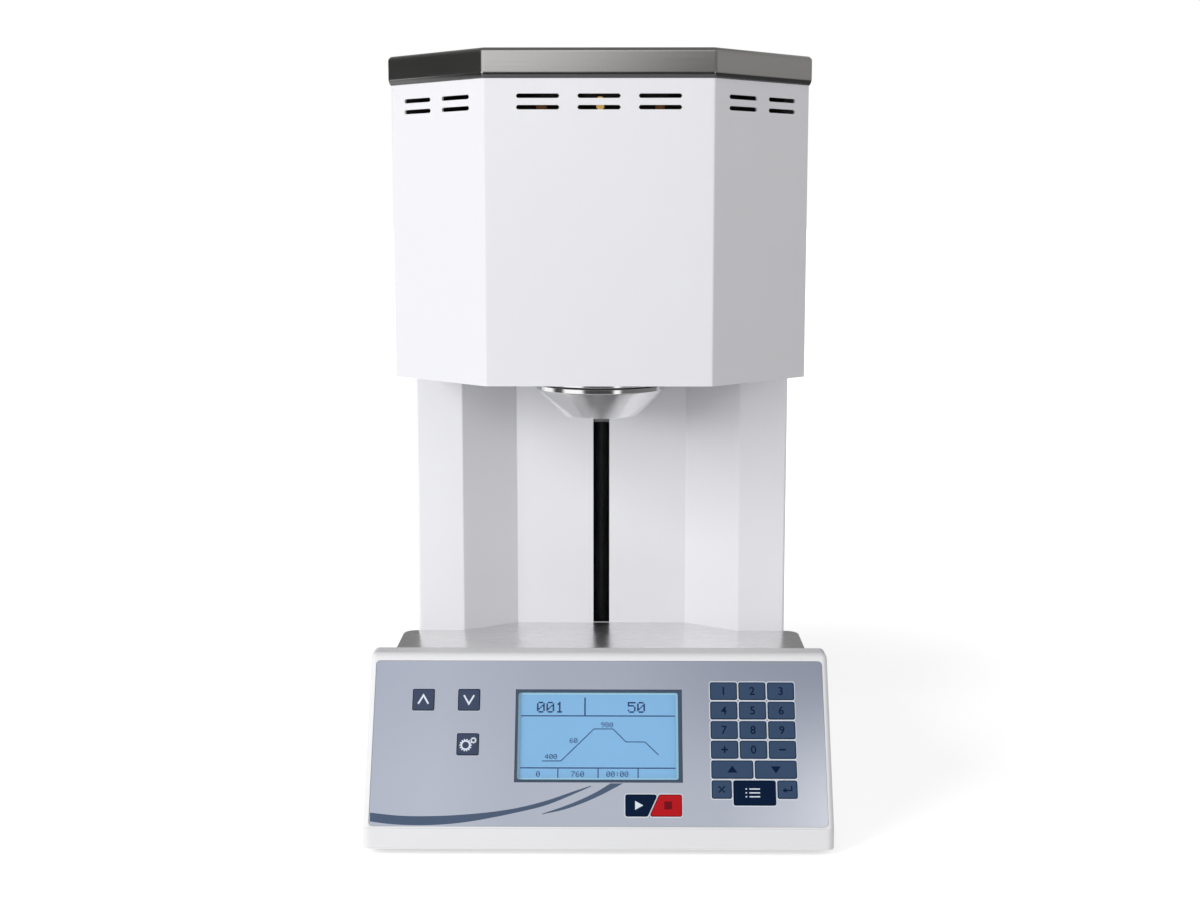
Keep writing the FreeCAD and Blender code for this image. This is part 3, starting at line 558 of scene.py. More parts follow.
def painted_shade_beyond(material, axis, edge, level):
    """Paints shade into a finish: its base colour turns a dark grey beyond a plane of the frame, as on the inside
    of the case and on the lid's hem.
    """
    tree = material.node_tree
    mask = add_node(tree, "Math", {0: coordinates(tree)[axis], 1: edge}, operation="LESS_THAN")
    return tint_base(material, mask, (level, level, level, 1.0))


@once
def key_finish(name, face, line):
    """A key's finish: the attribute rim turns its face colour into the darker outline."""
    material = surface(
        name, face, tuned(face, 1.06), rough=(0.42, 0.52), depth=0.004, fine=1500.0, shine=0.05)
    tree = material.node_tree
    rim = add_node(tree, "Attribute", attribute_name="rim")
    edge = add_node(tree, "MapRange", {"Value": rim.outputs["Fac"], "From Min": 0.35, "From Max": 0.65})
    return tint_base(material, edge, shade(line))


def print_finish(name, value):
    """Matte ink with a faint drift in its tone."""
    return surface(name, value, tuned(value, 1.08), rough=(0.45, 0.55), depth=0.0, shine=0.05)


@once
def backlight_and_glint_finish(name, value, drift, glow):
    """A layer of which part of the colour is its own light: the display's backlight, and a painted glint on the
    brass.
    """
    material = surface(name, value, drift, rough=(0.3, 0.36), depth=0.0, broad=14.0, shine=0.1)
    inputs = material.node_tree.nodes["Principled BSDF"].inputs
    material.node_tree.links.new(inputs["Base Color"].links[0].from_socket, inputs["Emission Color"])
    inputs["Emission Strength"].default_value = glow
    return material


PANEL_HALF = 160.0
# Painted sheen: levels of the lighter film colour across the panel, in millimetres from its middle, along its foot
# and along its top.
FILM_LOW_SHEEN = [(-155, 0.33), (-115, 0.41), (-60, 0.34), (-5, 0.415), (85, 0.5), (130, 0.76), (155, 1.0)]
FILM_HIGH_SHEEN = [(-155, 0.18), (-110, 0.245), (-40, 0.18), (20, 0.18), (90, 0.05), (155, 0.0)]


@once
def film_finish(name):
    """The film's painted sheen: its colour runs towards a lighter one across the panel, by one curve along its
    foot and by another along its top.
    """
    c = colours()
    material = surface(name, c.film, c.film, metallic=0.35, rough=(0.34, 0.46), depth=0.004, fine=2200.0)
    tree = material.node_tree
    low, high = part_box("keypad_overlay")
    x, _, z = coordinates(tree)
    half = PANEL_HALF * MM
    across = add_node(tree, "MapRange", {"Value": x, "From Min": -half, "From Max": half})
    rise = add_node(tree, "MapRange", {"Value": z, "From Min": low.z, "From Max": high.z},
                    interpolation_type="SMOOTHSTEP")
    foot, top = (ramp(tree, across, stops, PANEL_HALF) for stops in (FILM_LOW_SHEEN, FILM_HIGH_SHEEN))
    # Painted sheen: the two curves are mixed by height, and the result turns the film colour towards its lighter
    # one.
    drift = mix(tree, mix(tree, rise, foot, top), shade(c.film), shade(c.film_sheen))
    tree.links.new(drift, tree.nodes["Principled BSDF"].inputs["Base Color"])
    return material


@once
def glass_finish(name, tone=0.06):
    """Clear glass that leaves a faint tone and a reflection on what lies behind it."""
    material = surface(name, grey(150), grey(140), rough=(0.04, 0.08), depth=0.0, shine=0.3)
    material.node_tree.nodes["Principled BSDF"].inputs["Alpha"].default_value = tone
    return material


def finish_table():
    """The values of each plain finish.

    In turn they are two colours, metallic, range of roughness, depth, broad and fine scale, stretch and coat.
    """
    c = colours()
    paint, head, moulding, module = (
        (value, tuned(value, factor)) for value, factor in (
            (c.paint, 0.985), (c.head_paint, 0.985), (c.moulding, 0.985), (c.screen_frame, 0.9)))
    return {
        "white_paint": (*paint, 0.0, (0.34, 0.44), 0.012, 5.0, 700.0),
        "cover_paint": (*paint, 0.0, (0.34, 0.44), 0.012, 5.0, 700.0),
        # Painted shade: the head's coat, darker than the column's same paint.
        "head_paint": (*head, 0.0, (0.34, 0.44), 0.012, 5.0, 700.0),
        "white_moulding": (*moulding, 0.0, (0.38, 0.46), 0.006, 6.0, 1100.0),
        "display_module": (*module, 0.0, (0.3, 0.4), 0.002),
        "brushed_stainless": (
            grey(240, 1), grey(236), 1.0, (0.25, 0.31), 0.0006, 60.0, 1500.0, (0.02, 1.0, 1.0)),
        "turned_aluminium": (grey(206), grey(190), 1.0, (0.26, 0.36), 0.003, 12.0, 2000.0, (0.2, 0.2, 1.0)),
        "polished_steel": (grey(205), grey(192), 1.0, (0.12, 0.2), 0.001, 40.0),
        "zinc_steel": (grey(176, -2), grey(146, -2), 1.0, (0.34, 0.5), 0.004, 60.0),
        "screw_steel": (grey(104, -3), grey(92, -3), 0.3, (0.42, 0.55), 0.004, 60.0),
        "arm_steel": (grey(60), grey(48), 0.6, (0.4, 0.5), 0.004, 60.0),
        "dark_steel": (grey(34), grey(26), 0.4, (0.4, 0.55), 0.01, 60.0),
        "brass": ((0.86, 0.70, 0.40), (0.78, 0.60, 0.30), 1.0, (0.22, 0.34), 0.002, 80.0),
        "circuit_board": ((0.10, 0.42, 0.25), (0.07, 0.34, 0.20), 0.0, (0.3, 0.4), 0.02, 120.0),
        "foot_rubber": (grey(34), grey(26), 0.0, (0.7, 0.85), 0.02, 12.0, 600.0),
        "seal_rubber": (grey(44), grey(36), 0.0, (0.45, 0.6), 0.01),
        "insulation": ((0.93, 0.92, 0.88), (0.86, 0.84, 0.79), 0.0, (0.85, 0.95), 0.12, 40.0, 420.0),
        "firing_ceramic": ((0.89, 0.86, 0.80), (0.80, 0.76, 0.69), 0.0, (0.6, 0.8), 0.05, 60.0, 800.0),
        "heater_sheath": (grey(214, 4), grey(190, 6), 0.0, (0.12, 0.25), 0.004, 90.0, 900.0, (1, 1, 1), 0.5),
        "probe_sheath": ((0.91, 0.88, 0.82), (0.85, 0.81, 0.74), 0.0, (0.3, 0.45), 0.01, 90.0),
        "black_plastic": (grey(38), grey(30), 0.0, (0.3, 0.42), 0.012, 12.0, 800.0),
    }


def finish(slot):
    """The finish of a material slot."""
    c = colours()
    keys = {
        "key_slate": (c.key, c.key_rim), "side_key": (c.side_key, tuned(c.side_key, 0.72)),
        "key_navy": (c.navy, tuned(c.navy, 0.7)), "key_red": (c.red, tuned(c.red, 0.8)),
    }
    if slot in keys:
        return key_finish(slot, *keys[slot])
    own = {"display_glass": glass_finish, "panel_film": film_finish}
    return own[slot](slot) if slot in own else surface(slot, *finish_table()[slot])


LID_HEM = 3.4 * MM


def swept_steel():
    """Brushed steel whose lines run with the surface's own map, as on a pressed sheet, with painted shade on its
    hem.
    """
    sheet = surface(
        "brushed_sheet", grey(190, 2), grey(183, 1), metallic=1.0, rough=(0.17, 0.25), depth=0.0012,
        stretch=(0.012, 1.0, 1.0), broad=90.0, fine=1500.0, source="UV",
    )
    # Painted shade: below the top of the hem the steel's colour turns a dark grey of 0.15.
    return painted_shade_beyond(sheet, 2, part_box("top_cap")[0].z + LID_HEM, level=0.15)


def lathe_metal():
    """Turned metal whose fine rings run with the surface's own map."""
    return surface(
        "turned_rings", grey(241), grey(234), metallic=1.0, rough=(0.1, 0.17), depth=0.0006,
        stretch=(0.002, 1.0, 1.0), broad=200.0, fine=2000.0, source="UV",
    )


# Keys


FACE_DEPTH = 0.05 * MM


def key_corners(node):
    """The four corners of a key's face.

    The face's points have a hull, and its four longest sides, carried on, meet in the corners.
    """
    points = node_points(node) @ PANEL.T
    face = points[points[:, 2] > points[:, 2].max() - FACE_DEPTH][:, :2]
    hull = face[convex_hull_2d([Vector(point) for point in face])]
    along = np.roll(hull, -1, 0) - hull
    if (hull[:, 0] * np.roll(hull[:, 1], -1) - hull[:, 1] * np.roll(hull[:, 0], -1)).sum() < 0:
        hull = hull[::-1]
        along = np.roll(hull, -1, 0) - hull
    longest = np.sort(np.argsort(-np.linalg.norm(along, axis=1))[:4])
    start, along = hull[longest], along[longest]
    before, lead = np.roll(start, 1, 0), np.roll(along, 1, 0)
    cross = lead[:, 0] * along[:, 1] - lead[:, 1] * along[:, 0]
    gap = start - before
    step = (gap[:, 0] * along[:, 1] - gap[:, 1] * along[:, 0]) / cross
    return before + lead * step[:, None]


KEY_SKIRT = 0.9 * MM
KEY_EDGE = 0.06 * MM
DOME_SHARES = (0.25, 0.45, 0.7, 0.97)


class FURNACE_OT_keys(bpy.types.Operator):
    """Make the caps of the keys: a wall, a rounded shoulder and a faintly domed face with a darker outline"""

    bl_idname = "furnace.keys"
    bl_label = "Key caps"

    def execute(self, context):
        size = sizes()
        for node in KEYS:
            corners = key_corners(node)
            top = panel_extent(node)[1][2]
            reach = np.ptp(corners, axis=0).min() / 2
            line, face = size.key_line, top - KEY_EDGE
            levels = [
                (0.0, FILM_TOP - KEY_SKIRT, 1.0), (0.0, top - 0.3 * MM, 1.0),
                (0.06 * MM, top - 0.16 * MM, 1.0), (0.2 * MM, top - 0.08 * MM, 1.0),
                (line, face, 1.0), (line * 1.12, face, 0.0),
            ]
            levels += [(share * reach, face + size.key_dome * share * (2 - share), 0.0)
                       for share in DOME_SHARES]
            rings, rim = [], []
            for inset, height, value in levels:
                outline = rounded_outline(corners, -inset, max(size.key_corner - inset, 0.15 * MM))
                rings.append(at_height(outline, height))
                rim += [value] * len(outline)
            points, faces = loft(rings)
            slot = SLOTS[node]
            look = finish("side_key" if node in SIDE_KEYS else slot)
            add_piece(node.replace("key_", "cap_"), (on_panel(points), faces), node + "_cap", look,
                      replaces=[node], rim=rim)
        return {"FINISHED"}


def gear(centre, radius, teeth, bore, low, high, slots=16):
    """A toothed ring: the outer radius steps between tip and root with a rounded square wave of the angle."""
    wave = np.clip(2.6 * np.cos(2 * math.pi * np.arange(teeth * slots) / slots), -1, 1)
    ring = circle(teeth * slots)
    outer = ring * (radius * (0.9 + 0.1 * wave))[:, None] + centre
    return collar(outer, ring * bore + centre, low, high)


SIGNS = {
    "plus": [(1.1, [(-2.3, 0), (2.3, 0)]), (1.1, [(0, -2.3), (0, -0.55)]), (1.1, [(0, 0.55), (0, 2.3)])],
    "minus": [(1.1, [(-2.3, 0), (2.3, 0)])],
    "up": [(0, [(-3.4, -2.1), (3.4, -2.1), (0, 2.6)])],
    "down": [(0, [(-3.4, 2.1), (0, -2.6), (3.4, 2.1)])],
    "cancel": [
        (0.85, [(-2.1, -2.1), (2.1, 2.1)]), (0.85, [(-2.1, 2.1), (-0.45, 0.45)]),
        (0.85, [(0.45, -0.45), (2.1, -2.1)]),
    ],
    "enter": [
        (0.85, [(2.8, 2.4), (2.8, -0.6), (-1.0, -0.6)]), (0, [(-3.4, -0.6), (-0.9, -2.3), (-0.9, 1.1)]),
    ],
    "program": [
        (0.8, [(x, y), (end, y)]) for x, end in ((-3.6, 3.6), (-6.2, -5.2)) for y in (2.6, 0.0, -2.6)
    ],
    "start": [(0, [(-2.6, -3.0), (2.9, 0), (-2.6, 3.0)])],
    "stop": [(0, [(-2.6, -2.6), (2.6, -2.6), (2.6, 2.6), (-2.6, 2.6)])],
    "lift_up": [(1.2, [(-3.5, -3.0), (0, 3.0), (3.5, -3.0)])],
    "lift_down": [(1.2, [(-3.5, 3.0), (0, -3.0), (3.5, 3.0)])],
}
FIGURE_WEIGHT = 0.012
GEARS = (((-1.4, -0.7), 4.3, 14, 2.3), ((3.9, 2.6), 2.2, 9, 1.0))


def mark_shapes(node, low, high):
    """A key's figure, its two gears, or its sign: strokes with their widths, and filled shapes with none."""
    middle = key_corners(node).mean(0)
    name = node[len("key_"):]
    if name.isdigit():
        return [text_shape(name, sizes().digit_height, middle, low, high, FIGURE_WEIGHT)]
    if name == "settings":
        return [gear(middle + np.array(place) * MM, radius * MM, teeth, bore * MM, low, high)
                for place, radius, teeth, bore in GEARS]
    shapes = []
    for width, points in SIGNS[name]:
        points = np.asarray(points, float) * MM + middle
        shapes.append(stroke(points, width * MM, low, high) if width else prism(points, low, high))
    return shapes


PALE = (0.80, 0.83, 0.87)


class FURNACE_OT_key_marks(bpy.types.Operator):
    """Print a figure or a plain sign on each key"""

    bl_idname = "furnace.key_marks"
    bl_label = "Signs on the keys"

    def execute(self, context):
        c = colours()
        dark = print_finish("dark_print", c.navy)
        pale = print_finish("pale_print", PALE)
        red = print_finish("red_print", c.red_dark)
        looks = dict.fromkeys((*SIDE_KEYS, "key_program", "key_start"), (pale, "key_slate"))
        looks["key_stop"] = (red, "key_red")
        for node in KEYS:
            look, slot = looks.get(node, (dark, "key_navy"))
            top = panel_extent(node)[1][2] - KEY_EDGE + sizes().key_dome
            shapes = mark_shapes(node, top - 0.2 * MM, top + sizes().print_height)
            add_print(node.replace("key_", "mark_"), shapes, node + "_cap", look)
        return {"FINISHED"}


# Print on the film


MAIN_STRIPE_UPPER = [
    (-154.3, 10.1), (-134.9, 8.2), (-110.2, 8.0), (-85.9, 9.4), (-69.8, 11.1), (-57.0, 13.1), (-36.4, 18.1),
    (-14.8, 25.4), (-5.0, 28.6),
]
MAIN_STRIPE_LOWER = [
    (-154.0, 4.2), (-143.1, 2.8), (-121.5, 1.8), (-93.9, 3.4), (-69.7, 7.4), (-56.9, 10.1), (-36.3, 15.1),
    (-14.8, 23.7), (-5.0, 28.0),
]
SECOND_STRIPE_UPPER = [(-38.0, 9.7), (-24.0, 14.4), (-10.4, 19.9), (0.0, 25.1), (8.3, 30.2)]
SECOND_STRIPE_LOWER = [(-38.0, 9.3), (-24.0, 12.3), (-10.4, 16.9), (4.0, 23.4), (16.7, 30.2)]
SIDE_HALO = 0.4


class FURNACE_OT_panel_print(bpy.types.Operator):
    """Print the panel film: a light line round every key and two sweeping stripes"""

    bl_idname = "furnace.panel_print"
    bl_label = "Print on the film"

    def execute(self, context):
        c, size = colours(), sizes()
        low, high = FILM_TOP - 0.02 * MM, FILM_TOP + size.print_height
        light = print_finish("halo_print", c.halo)
        shapes = []
        for node in KEYS:
            corners = key_corners(node)
            wide = size.halo_width * (SIDE_HALO if node in SIDE_KEYS else 1.0)
            inner = rounded_outline(corners, size.halo_gap, size.key_corner + size.halo_gap)
            outer = rounded_outline(corners, size.halo_gap + wide, size.key_corner + size.halo_gap + wide)
            shapes.append(collar(outer, inner, low, high))
        add_print("key_halos", shapes, "stand", light)
        stripe = print_finish("stripe_print", c.stripe)
        stripes = [
            ribbon(panel_mm(MAIN_STRIPE_UPPER), panel_mm(MAIN_STRIPE_LOWER), low, high),
            ribbon(panel_mm(SECOND_STRIPE_UPPER), panel_mm(SECOND_STRIPE_LOWER), low, high),
        ]
        add_print("film_stripes", stripes, "stand", stripe)
        return {"FINISHED"}


# Display


DIGIT_ROWS = {
    "0": (14, 17, 19, 21, 25, 17, 14), "1": (4, 12, 4, 4, 4, 4, 14), "2": (14, 17, 1, 2, 4, 8, 31),
    "3": (31, 2, 4, 2, 1, 17, 14), "4": (2, 6, 10, 18, 31, 2, 2), "5": (31, 16, 30, 1, 1, 17, 14),
    "6": (6, 8, 16, 30, 17, 17, 14), "7": (31, 1, 2, 4, 8, 8, 8), "8": (14, 17, 17, 14, 17, 17, 14),
    "9": (14, 17, 17, 15, 1, 2, 12), ":": (0, 4, 4, 0, 4, 4, 0), "-": (0, 0, 0, 14, 0, 0, 0),
}
WINDOW = (-57.1, 57.1, 31.0, 94.4)
LIT = (-55.5, 54.5, 32.8, 92.8)
RIM_WIDTH = 1.3
SCREEN_GLOW = 0.2
SCREEN_LINES = [
    (0.8, [(-53.4, 76.7), (52.6, 76.7)]), (0.8, [(-53.4, 40.9), (52.6, 40.9)]),
    (1.0, [(-9.5, 77.1), (-9.5, 89.4)]), *((0.7, [(x, 34.2), (x, 40.5)]) for x in (-27.7, -0.3, 27.0)),
    (0.62, [
        (-38.7, 45.6), (-25.7, 45.7), (-3.2, 67.7), (9.9, 67.7), (18.8, 58.8), (31.8, 58.8), (41.0, 49.9),
    ]),
]
SCREEN_FIGURES = (
    ("001", -42.7, 78.9, 7.6), ("50", 20.0, 78.9, 7.6), ("400", -36.7, 47.0, 3.4), ("60", -19.9, 58.0, 3.4),
    ("980", 1.6, 68.8, 3.4), ("0", -42.6, 35.0, 3.6), ("760", -18.6, 35.0, 3.6), ("00:00", 5.4, 35.0, 3.6),
)


def dot_text(text, left, low_edge, height):
    """Figures as rows of square dots, five wide and seven high, from a table of bits."""
    pitch = height / 7
    places = []
    for index, character in enumerate(text):
        rows = np.array(DIGIT_ROWS[character])[:, None] >> np.arange(4, -1, -1)[None] & 1
        row, column = np.nonzero(rows)
        across = left + (index * 6 + column + 0.5) * pitch
        places.append(np.stack([across, low_edge + (6.5 - row) * pitch], 1))
    return np.concatenate(places), pitch * 1.02


def dots(places, side, low, high):
    """A small square prism at each place."""
    square = rectangle(-side / 2, side / 2, -side / 2, side / 2)
    corners = places[:, None] + square[None]
    levels = [np.concatenate([corners, np.full((len(places), 4, 1), z)], -1) for z in (low, high)]
    around = [[i, (i + 1) % 4, (i + 1) % 4 + 4, i + 4] for i in range(4)]
    one = np.array([[3, 2, 1, 0], [4, 5, 6, 7]] + around)
    faces = (one[None] + 8 * np.arange(len(places))[:, None, None]).reshape(-1, 4)
    return np.concatenate(levels, 1).reshape(-1, 3), faces.tolist()


class FURNACE_OT_display(bpy.types.Operator):
    """Build the display: lit ground, brighter rim, dotted figures and lines, dark frame and glass"""

    bl_idname = "furnace.display"
    bl_label = "Display"

    def execute(self, context):
        c = colours()
        ground, face, print_top, glass_back = (
            panel_extent("display_module")[1][2] + rise * MM for rise in (0.01, 0.35, 0.42, 0.6))
        glass_top = FILM_TOP - 0.05 * MM
        window, ground_box = (panel_mm(rectangle(*box)) for box in (WINDOW, LIT))
        lit = rounded_outline(ground_box, -RIM_WIDTH * MM, 1.2 * MM)
        rim = rounded_outline(ground_box, 0.1 * MM, 1.6 * MM)
        edge = rounded_outline(window, 0.0, 1.0 * MM)
        low = face - 0.005 * MM
        figures = [stroke(panel_mm(points), width * MM, low, print_top) for width, points in SCREEN_LINES]
        for text, left, up, height in SCREEN_FIGURES:
            places, side = dot_text(text, left, up, height)
            figures.append(dots(panel_mm(places), side * MM, low, print_top))
        for name, shapes, look in (
            ("screen_ground", [prism(lit, ground, face)],
             backlight_and_glint_finish("screen_ground", c.screen, tuned(c.screen, 1.04), SCREEN_GLOW)),
            ("screen_rim", [collar(rim, lit, ground, face)],
             backlight_and_glint_finish("screen_rim", c.screen_rim, tuned(c.screen_rim, 0.97), SCREEN_GLOW)),
            ("screen_frame", [collar(edge, rim, ground, glass_top - 0.06 * MM)],
             print_finish("screen_frame", c.screen_frame)),
            ("screen_print", figures, print_finish("screen_print", c.screen_print)),
        ):
            add_print(name, shapes, "stand", look)
        levels = (
            (0.05, glass_back), (0.05, glass_top - 0.15 * MM), (0.1, glass_top - 0.04 * MM),
            (0.25, glass_top))
        points, faces = loft([
            at_height(rounded_outline(window, -inset * MM, 1.0 * MM), height) for inset, height in levels])
        add_piece("window_glass", (on_panel(points), faces), "stand",
                  finish("display_glass"), replaces=["display_window"])
        return {"FINISHED"}


# Brushed sheet


FACET_HALF = 78.0 * MM


def head_plan():
    """The head's plan as six corners, anticlockwise from the back left."""
    low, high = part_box("head_casing")
    half, front = high.x, low.y
    corner = front + half - FACET_HALF
    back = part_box("rear_cover")[1].y
    right = [(FACET_HALF, front), (half, corner), (half, back)]
    return np.array([(-x, y) for x, y in right[::-1]] + right)


def swept_uv(rings):
    """Distance run round each ring and up the profile."""
    rings = np.asarray(rings, float)
    step = np.linalg.norm(np.diff(rings, axis=1, append=rings[:, :1]), axis=2)
    along = np.cumsum(step, axis=1) - step
    up = np.broadcast_to(distance_run(rings[:, 0])[:, None], along.shape)
    return np.stack([along, up], -1).reshape(-1, 2)


class FURNACE_OT_head_lid(bpy.types.Operator):
    """Press the lid of the head: a turned-in hem, an upright band, a bevel and rounded folds"""

    bl_idname = "furnace.head_lid"
    bl_label = "Lid of the head"

    def execute(self, context):
        size = sizes()
        low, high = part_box("top_cap")
        plan = head_plan()
        proud = high.x - plan[:, 0].max()
        bevel = 2.0 * MM
        profile = [
            (-6.0 * MM, low.z), (proud - 1.3 * MM, low.z), (proud, low.z + LID_HEM), (proud, high.z - bevel),
            (proud - bevel, high.z), (-30.0 * MM, high.z), (-45.0 * MM, high.z),
        ]
        rings = []
        for out, height in softened(profile, size.lid_round):
            ring = rounded_outline(plan, out, max(size.fold_round + out, 0.4 * MM))
            ring[:, 1] = np.minimum(ring[:, 1], high.y)
            rings.append(at_height(ring, height))
        points, faces = loft(rings)
        uv = swept_uv(rings)
        top = points[:, 2] > high.z - 0.02 * MM
        uv[top] = points[top][:, :2]
        add_piece("head_lid", (points, faces), "stand", swept_steel(),
                  replaces=["top_cap"], uv=uv)
        return {"FINISHED"}


class FURNACE_OT_work_table(bpy.types.Operator):
    """Lay the work table: a sheet with a softened upper edge, rounded front corners and a rear tongue"""

    bl_idname = "furnace.work_table"
    bl_label = "Work table"

    def execute(self, context):
        low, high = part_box("work_table")
        points = node_points("work_table")
        rear_line = points[points[:, 1] > high.y - NEAR]
        tongue = rear_line[:, 0].max()
        middle = points[(points[:, 1] < high.y - 1.0 * MM) & (points[:, 1] > low.y + 1.0 * MM)]
        shoulder_y = middle[:, 1].max()
        shoulder = middle[middle[:, 1] > shoulder_y - NEAR]
        inner = np.abs(shoulder[:, 0]).min()
        corner = 10.0 * MM
        right = [(high.x, low.y), (high.x, shoulder_y), (inner, shoulder_y), (tongue, high.y)]
        plan = np.array(right + [(-x, y) for x, y in right[::-1]])
        radius = np.array([0.0, corner, 0.0, 0.0, 0.0, 0.0, corner, 0.0])
        round_edge = min(sizes().table_round, (high.z - low.z) * 0.6)
        turn = np.linspace(0, math.pi / 2, 6)
        levels = [(0.0, low.z), (0.0, (low.z + high.z) / 2)]
        levels += [(-round_edge * (1 - math.cos(a)), high.z - round_edge * (1 - math.sin(a))) for a in turn]
        rings = [at_height(rounded_outline(plan, out, np.maximum(radius + out, 0)), z) for out, z in levels]
        add_piece("table_sheet", loft(rings), "stand", finish("brushed_stainless"),
                  replaces=["work_table"])
        return {"FINISHED"}


# Turned parts


class FURNACE_OT_platform(bpy.types.Operator):
    """Turn the lift platform and the seat above it, which rings the chamber's mouth, each from its profile"""

    bl_idname = "furnace.platform"
    bl_label = "Platform and seat"

    def execute(self, context):
        low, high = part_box("lift_platform")
        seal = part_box("seal_ring")[0].z
        centre = ((low.x + high.x) / 2, (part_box("flange_ring")[0].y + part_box("flange_ring")[1].y) / 2)
        radius = (high.x - low.x) / 2
        band = high.z - 4.2 * MM
        bottom = 29.0 * MM
        rebate = radius - 3.05 * MM
        profile = [
            (0.0, low.z), (bottom, low.z), (radius - 0.25 * MM, band - 0.2 * MM), (radius, band + 0.2 * MM),
            (radius, seal), (rebate, seal), (rebate, high.z), (0.0, high.z),
        ]
        *shape, uv = turned(softened(profile, 0.5 * MM), centre)
        add_piece("platform_turned", shape, "lift", lathe_metal(),
                  replaces=["lift_platform"], uv=uv)
        low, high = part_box("flange_ring")
        mouth = 46.0 * MM
        radius = (high.x - low.x) / 2
        profile = [(mouth, low.z), (radius, low.z), (radius, high.z), (mouth, high.z)]
        *shape, uv = turned(softened(profile, 0.4 * MM, closed=True), centre, close=True)
        add_piece("seat_turned", shape, "stand", lathe_metal(),
                  replaces=["flange_ring"], uv=uv)
        return {"FINISHED"}


# Studs behind the slots


STUD_COUNT = 6
STUD_SPREAD = 360.0 / STUD_COUNT
STUD_RADIUS = 2.9
STUD_PROFILE = [(0, -1), (1, -1), (1, 1.5), (0.72, 2.2), (0.72, 5), (1, 5.8), (1, 11), (0.6, 13.5), (0, 13.5)]


class FURNACE_OT_post_studs(bpy.types.Operator):
    """Screw a round-headed stud into the top of each brass post, where the slots show it, with a painted glint
    that is brightest on the front stud
    """

    bl_idname = "furnace.post_studs"
    bl_label = "Studs on the posts"

    def execute(self, context):
        points = node_points("lid_posts")
        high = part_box("lid_posts")[1]
        low_lid, high_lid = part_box("pot_lid")
        middle = np.array([(low_lid.x + high_lid.x) / 2, (low_lid.y + high_lid.y) / 2])
        tops = points[points[:, 2] > high.z - NEAR][:, :2]
        turn = np.round(np.degrees(np.arctan2(*(tops - middle).T)) / STUD_SPREAD).astype(int) % STUD_COUNT
        profile = [(share * STUD_RADIUS * MM, high.z + rise * MM) for share, rise in STUD_PROFILE]
        studs = [turned(softened(profile, 0.6 * MM), tops[turn == number].mean(0), sides=48)[:2]
                 for number in range(STUD_COUNT)]
        front = int(np.argmin([points[:, 1].min() for points, _ in studs]))
        rest = [stud for number, stud in enumerate(studs) if number != front]
        # Painted glint: both brass finishes glow, the front stud more brightly than the rest.
        bright = backlight_and_glint_finish("front_brass", (0.98, 0.84, 0.56), (0.84, 0.62, 0.30), 0.6)
        dim = backlight_and_glint_finish("shaded_brass", (0.62, 0.45, 0.28), (0.44, 0.28, 0.16), 0.22)
        add_piece("front_stud", studs[front], "stand", bright)
        add_piece("rear_studs", together(rest), "stand", dim)
        return {"FINISHED"}


# Rear


def flat_sides(node, count, least):
    """The middles and directions of a node's largest flat sides that face the back."""
    sides = frame["nodes"][node].data.polygons
    facing = read(sides, "normal")[:, 1] > least
    normals, middles, areas = (
        read(sides, name, width)[facing] for name, width in (("normal", 3), ("center", 3), ("area", 1)))
    kinds, index = np.unique(np.round(normals, 2), axis=0, return_inverse=True)
    index = index.ravel()
    found = []
    for kind in np.argsort(-np.bincount(index, areas[:, 0]))[:count]:
        here = index == kind
        middle = (middles[here] * areas[here]).sum(0) / areas[here].sum()
        found.append((middle, kinds[kind] / np.linalg.norm(kinds[kind])))
    return sorted(found, key=lambda side: -side[0][2])


def screw_head(x, y, z, radius, count=48):
    """A pan head that faces the back.

    Rings narrow from the rim to a cross cut into the top. The cross is the larger of two crossed bars along
    each direction, and a bar reaches the nearer of its end and its side.
    """
    ring = circle(count, math.pi / count)
    cosine, sine = np.abs(ring[:, :1]), np.abs(ring[:, 1:])
    arm, half = 0.56 * radius, 0.15 * radius
    cross = ring * np.maximum(np.minimum(arm / cosine, half / sine), np.minimum(half / cosine, arm / sine))
    heights = np.array([0.0, 0.16, 0.36, 0.5, 0.58, 0.6]) * radius
    shares = [1.0, 1.0, 0.93, 0.8, 0.66, 0.6]
    rings = [at_height(ring * radius * share, height) for share, height in zip(shares, heights)]
    rings += [at_height(cross, 0.6 * radius), at_height(cross * 0.8, 0.2 * radius)]
    points, faces = loft(rings)
    return np.column_stack([x - points[:, 0], y + points[:, 2], z + points[:, 1]]), faces


SCREW_ROWS = 6
SCREW_MARGIN = 7.0 * MM
SCREW_INNER = 47.0 * MM
SIGN_RADIUS = 2.2 * MM
SIGN_HALF_WIDTH = 0.45 * MM


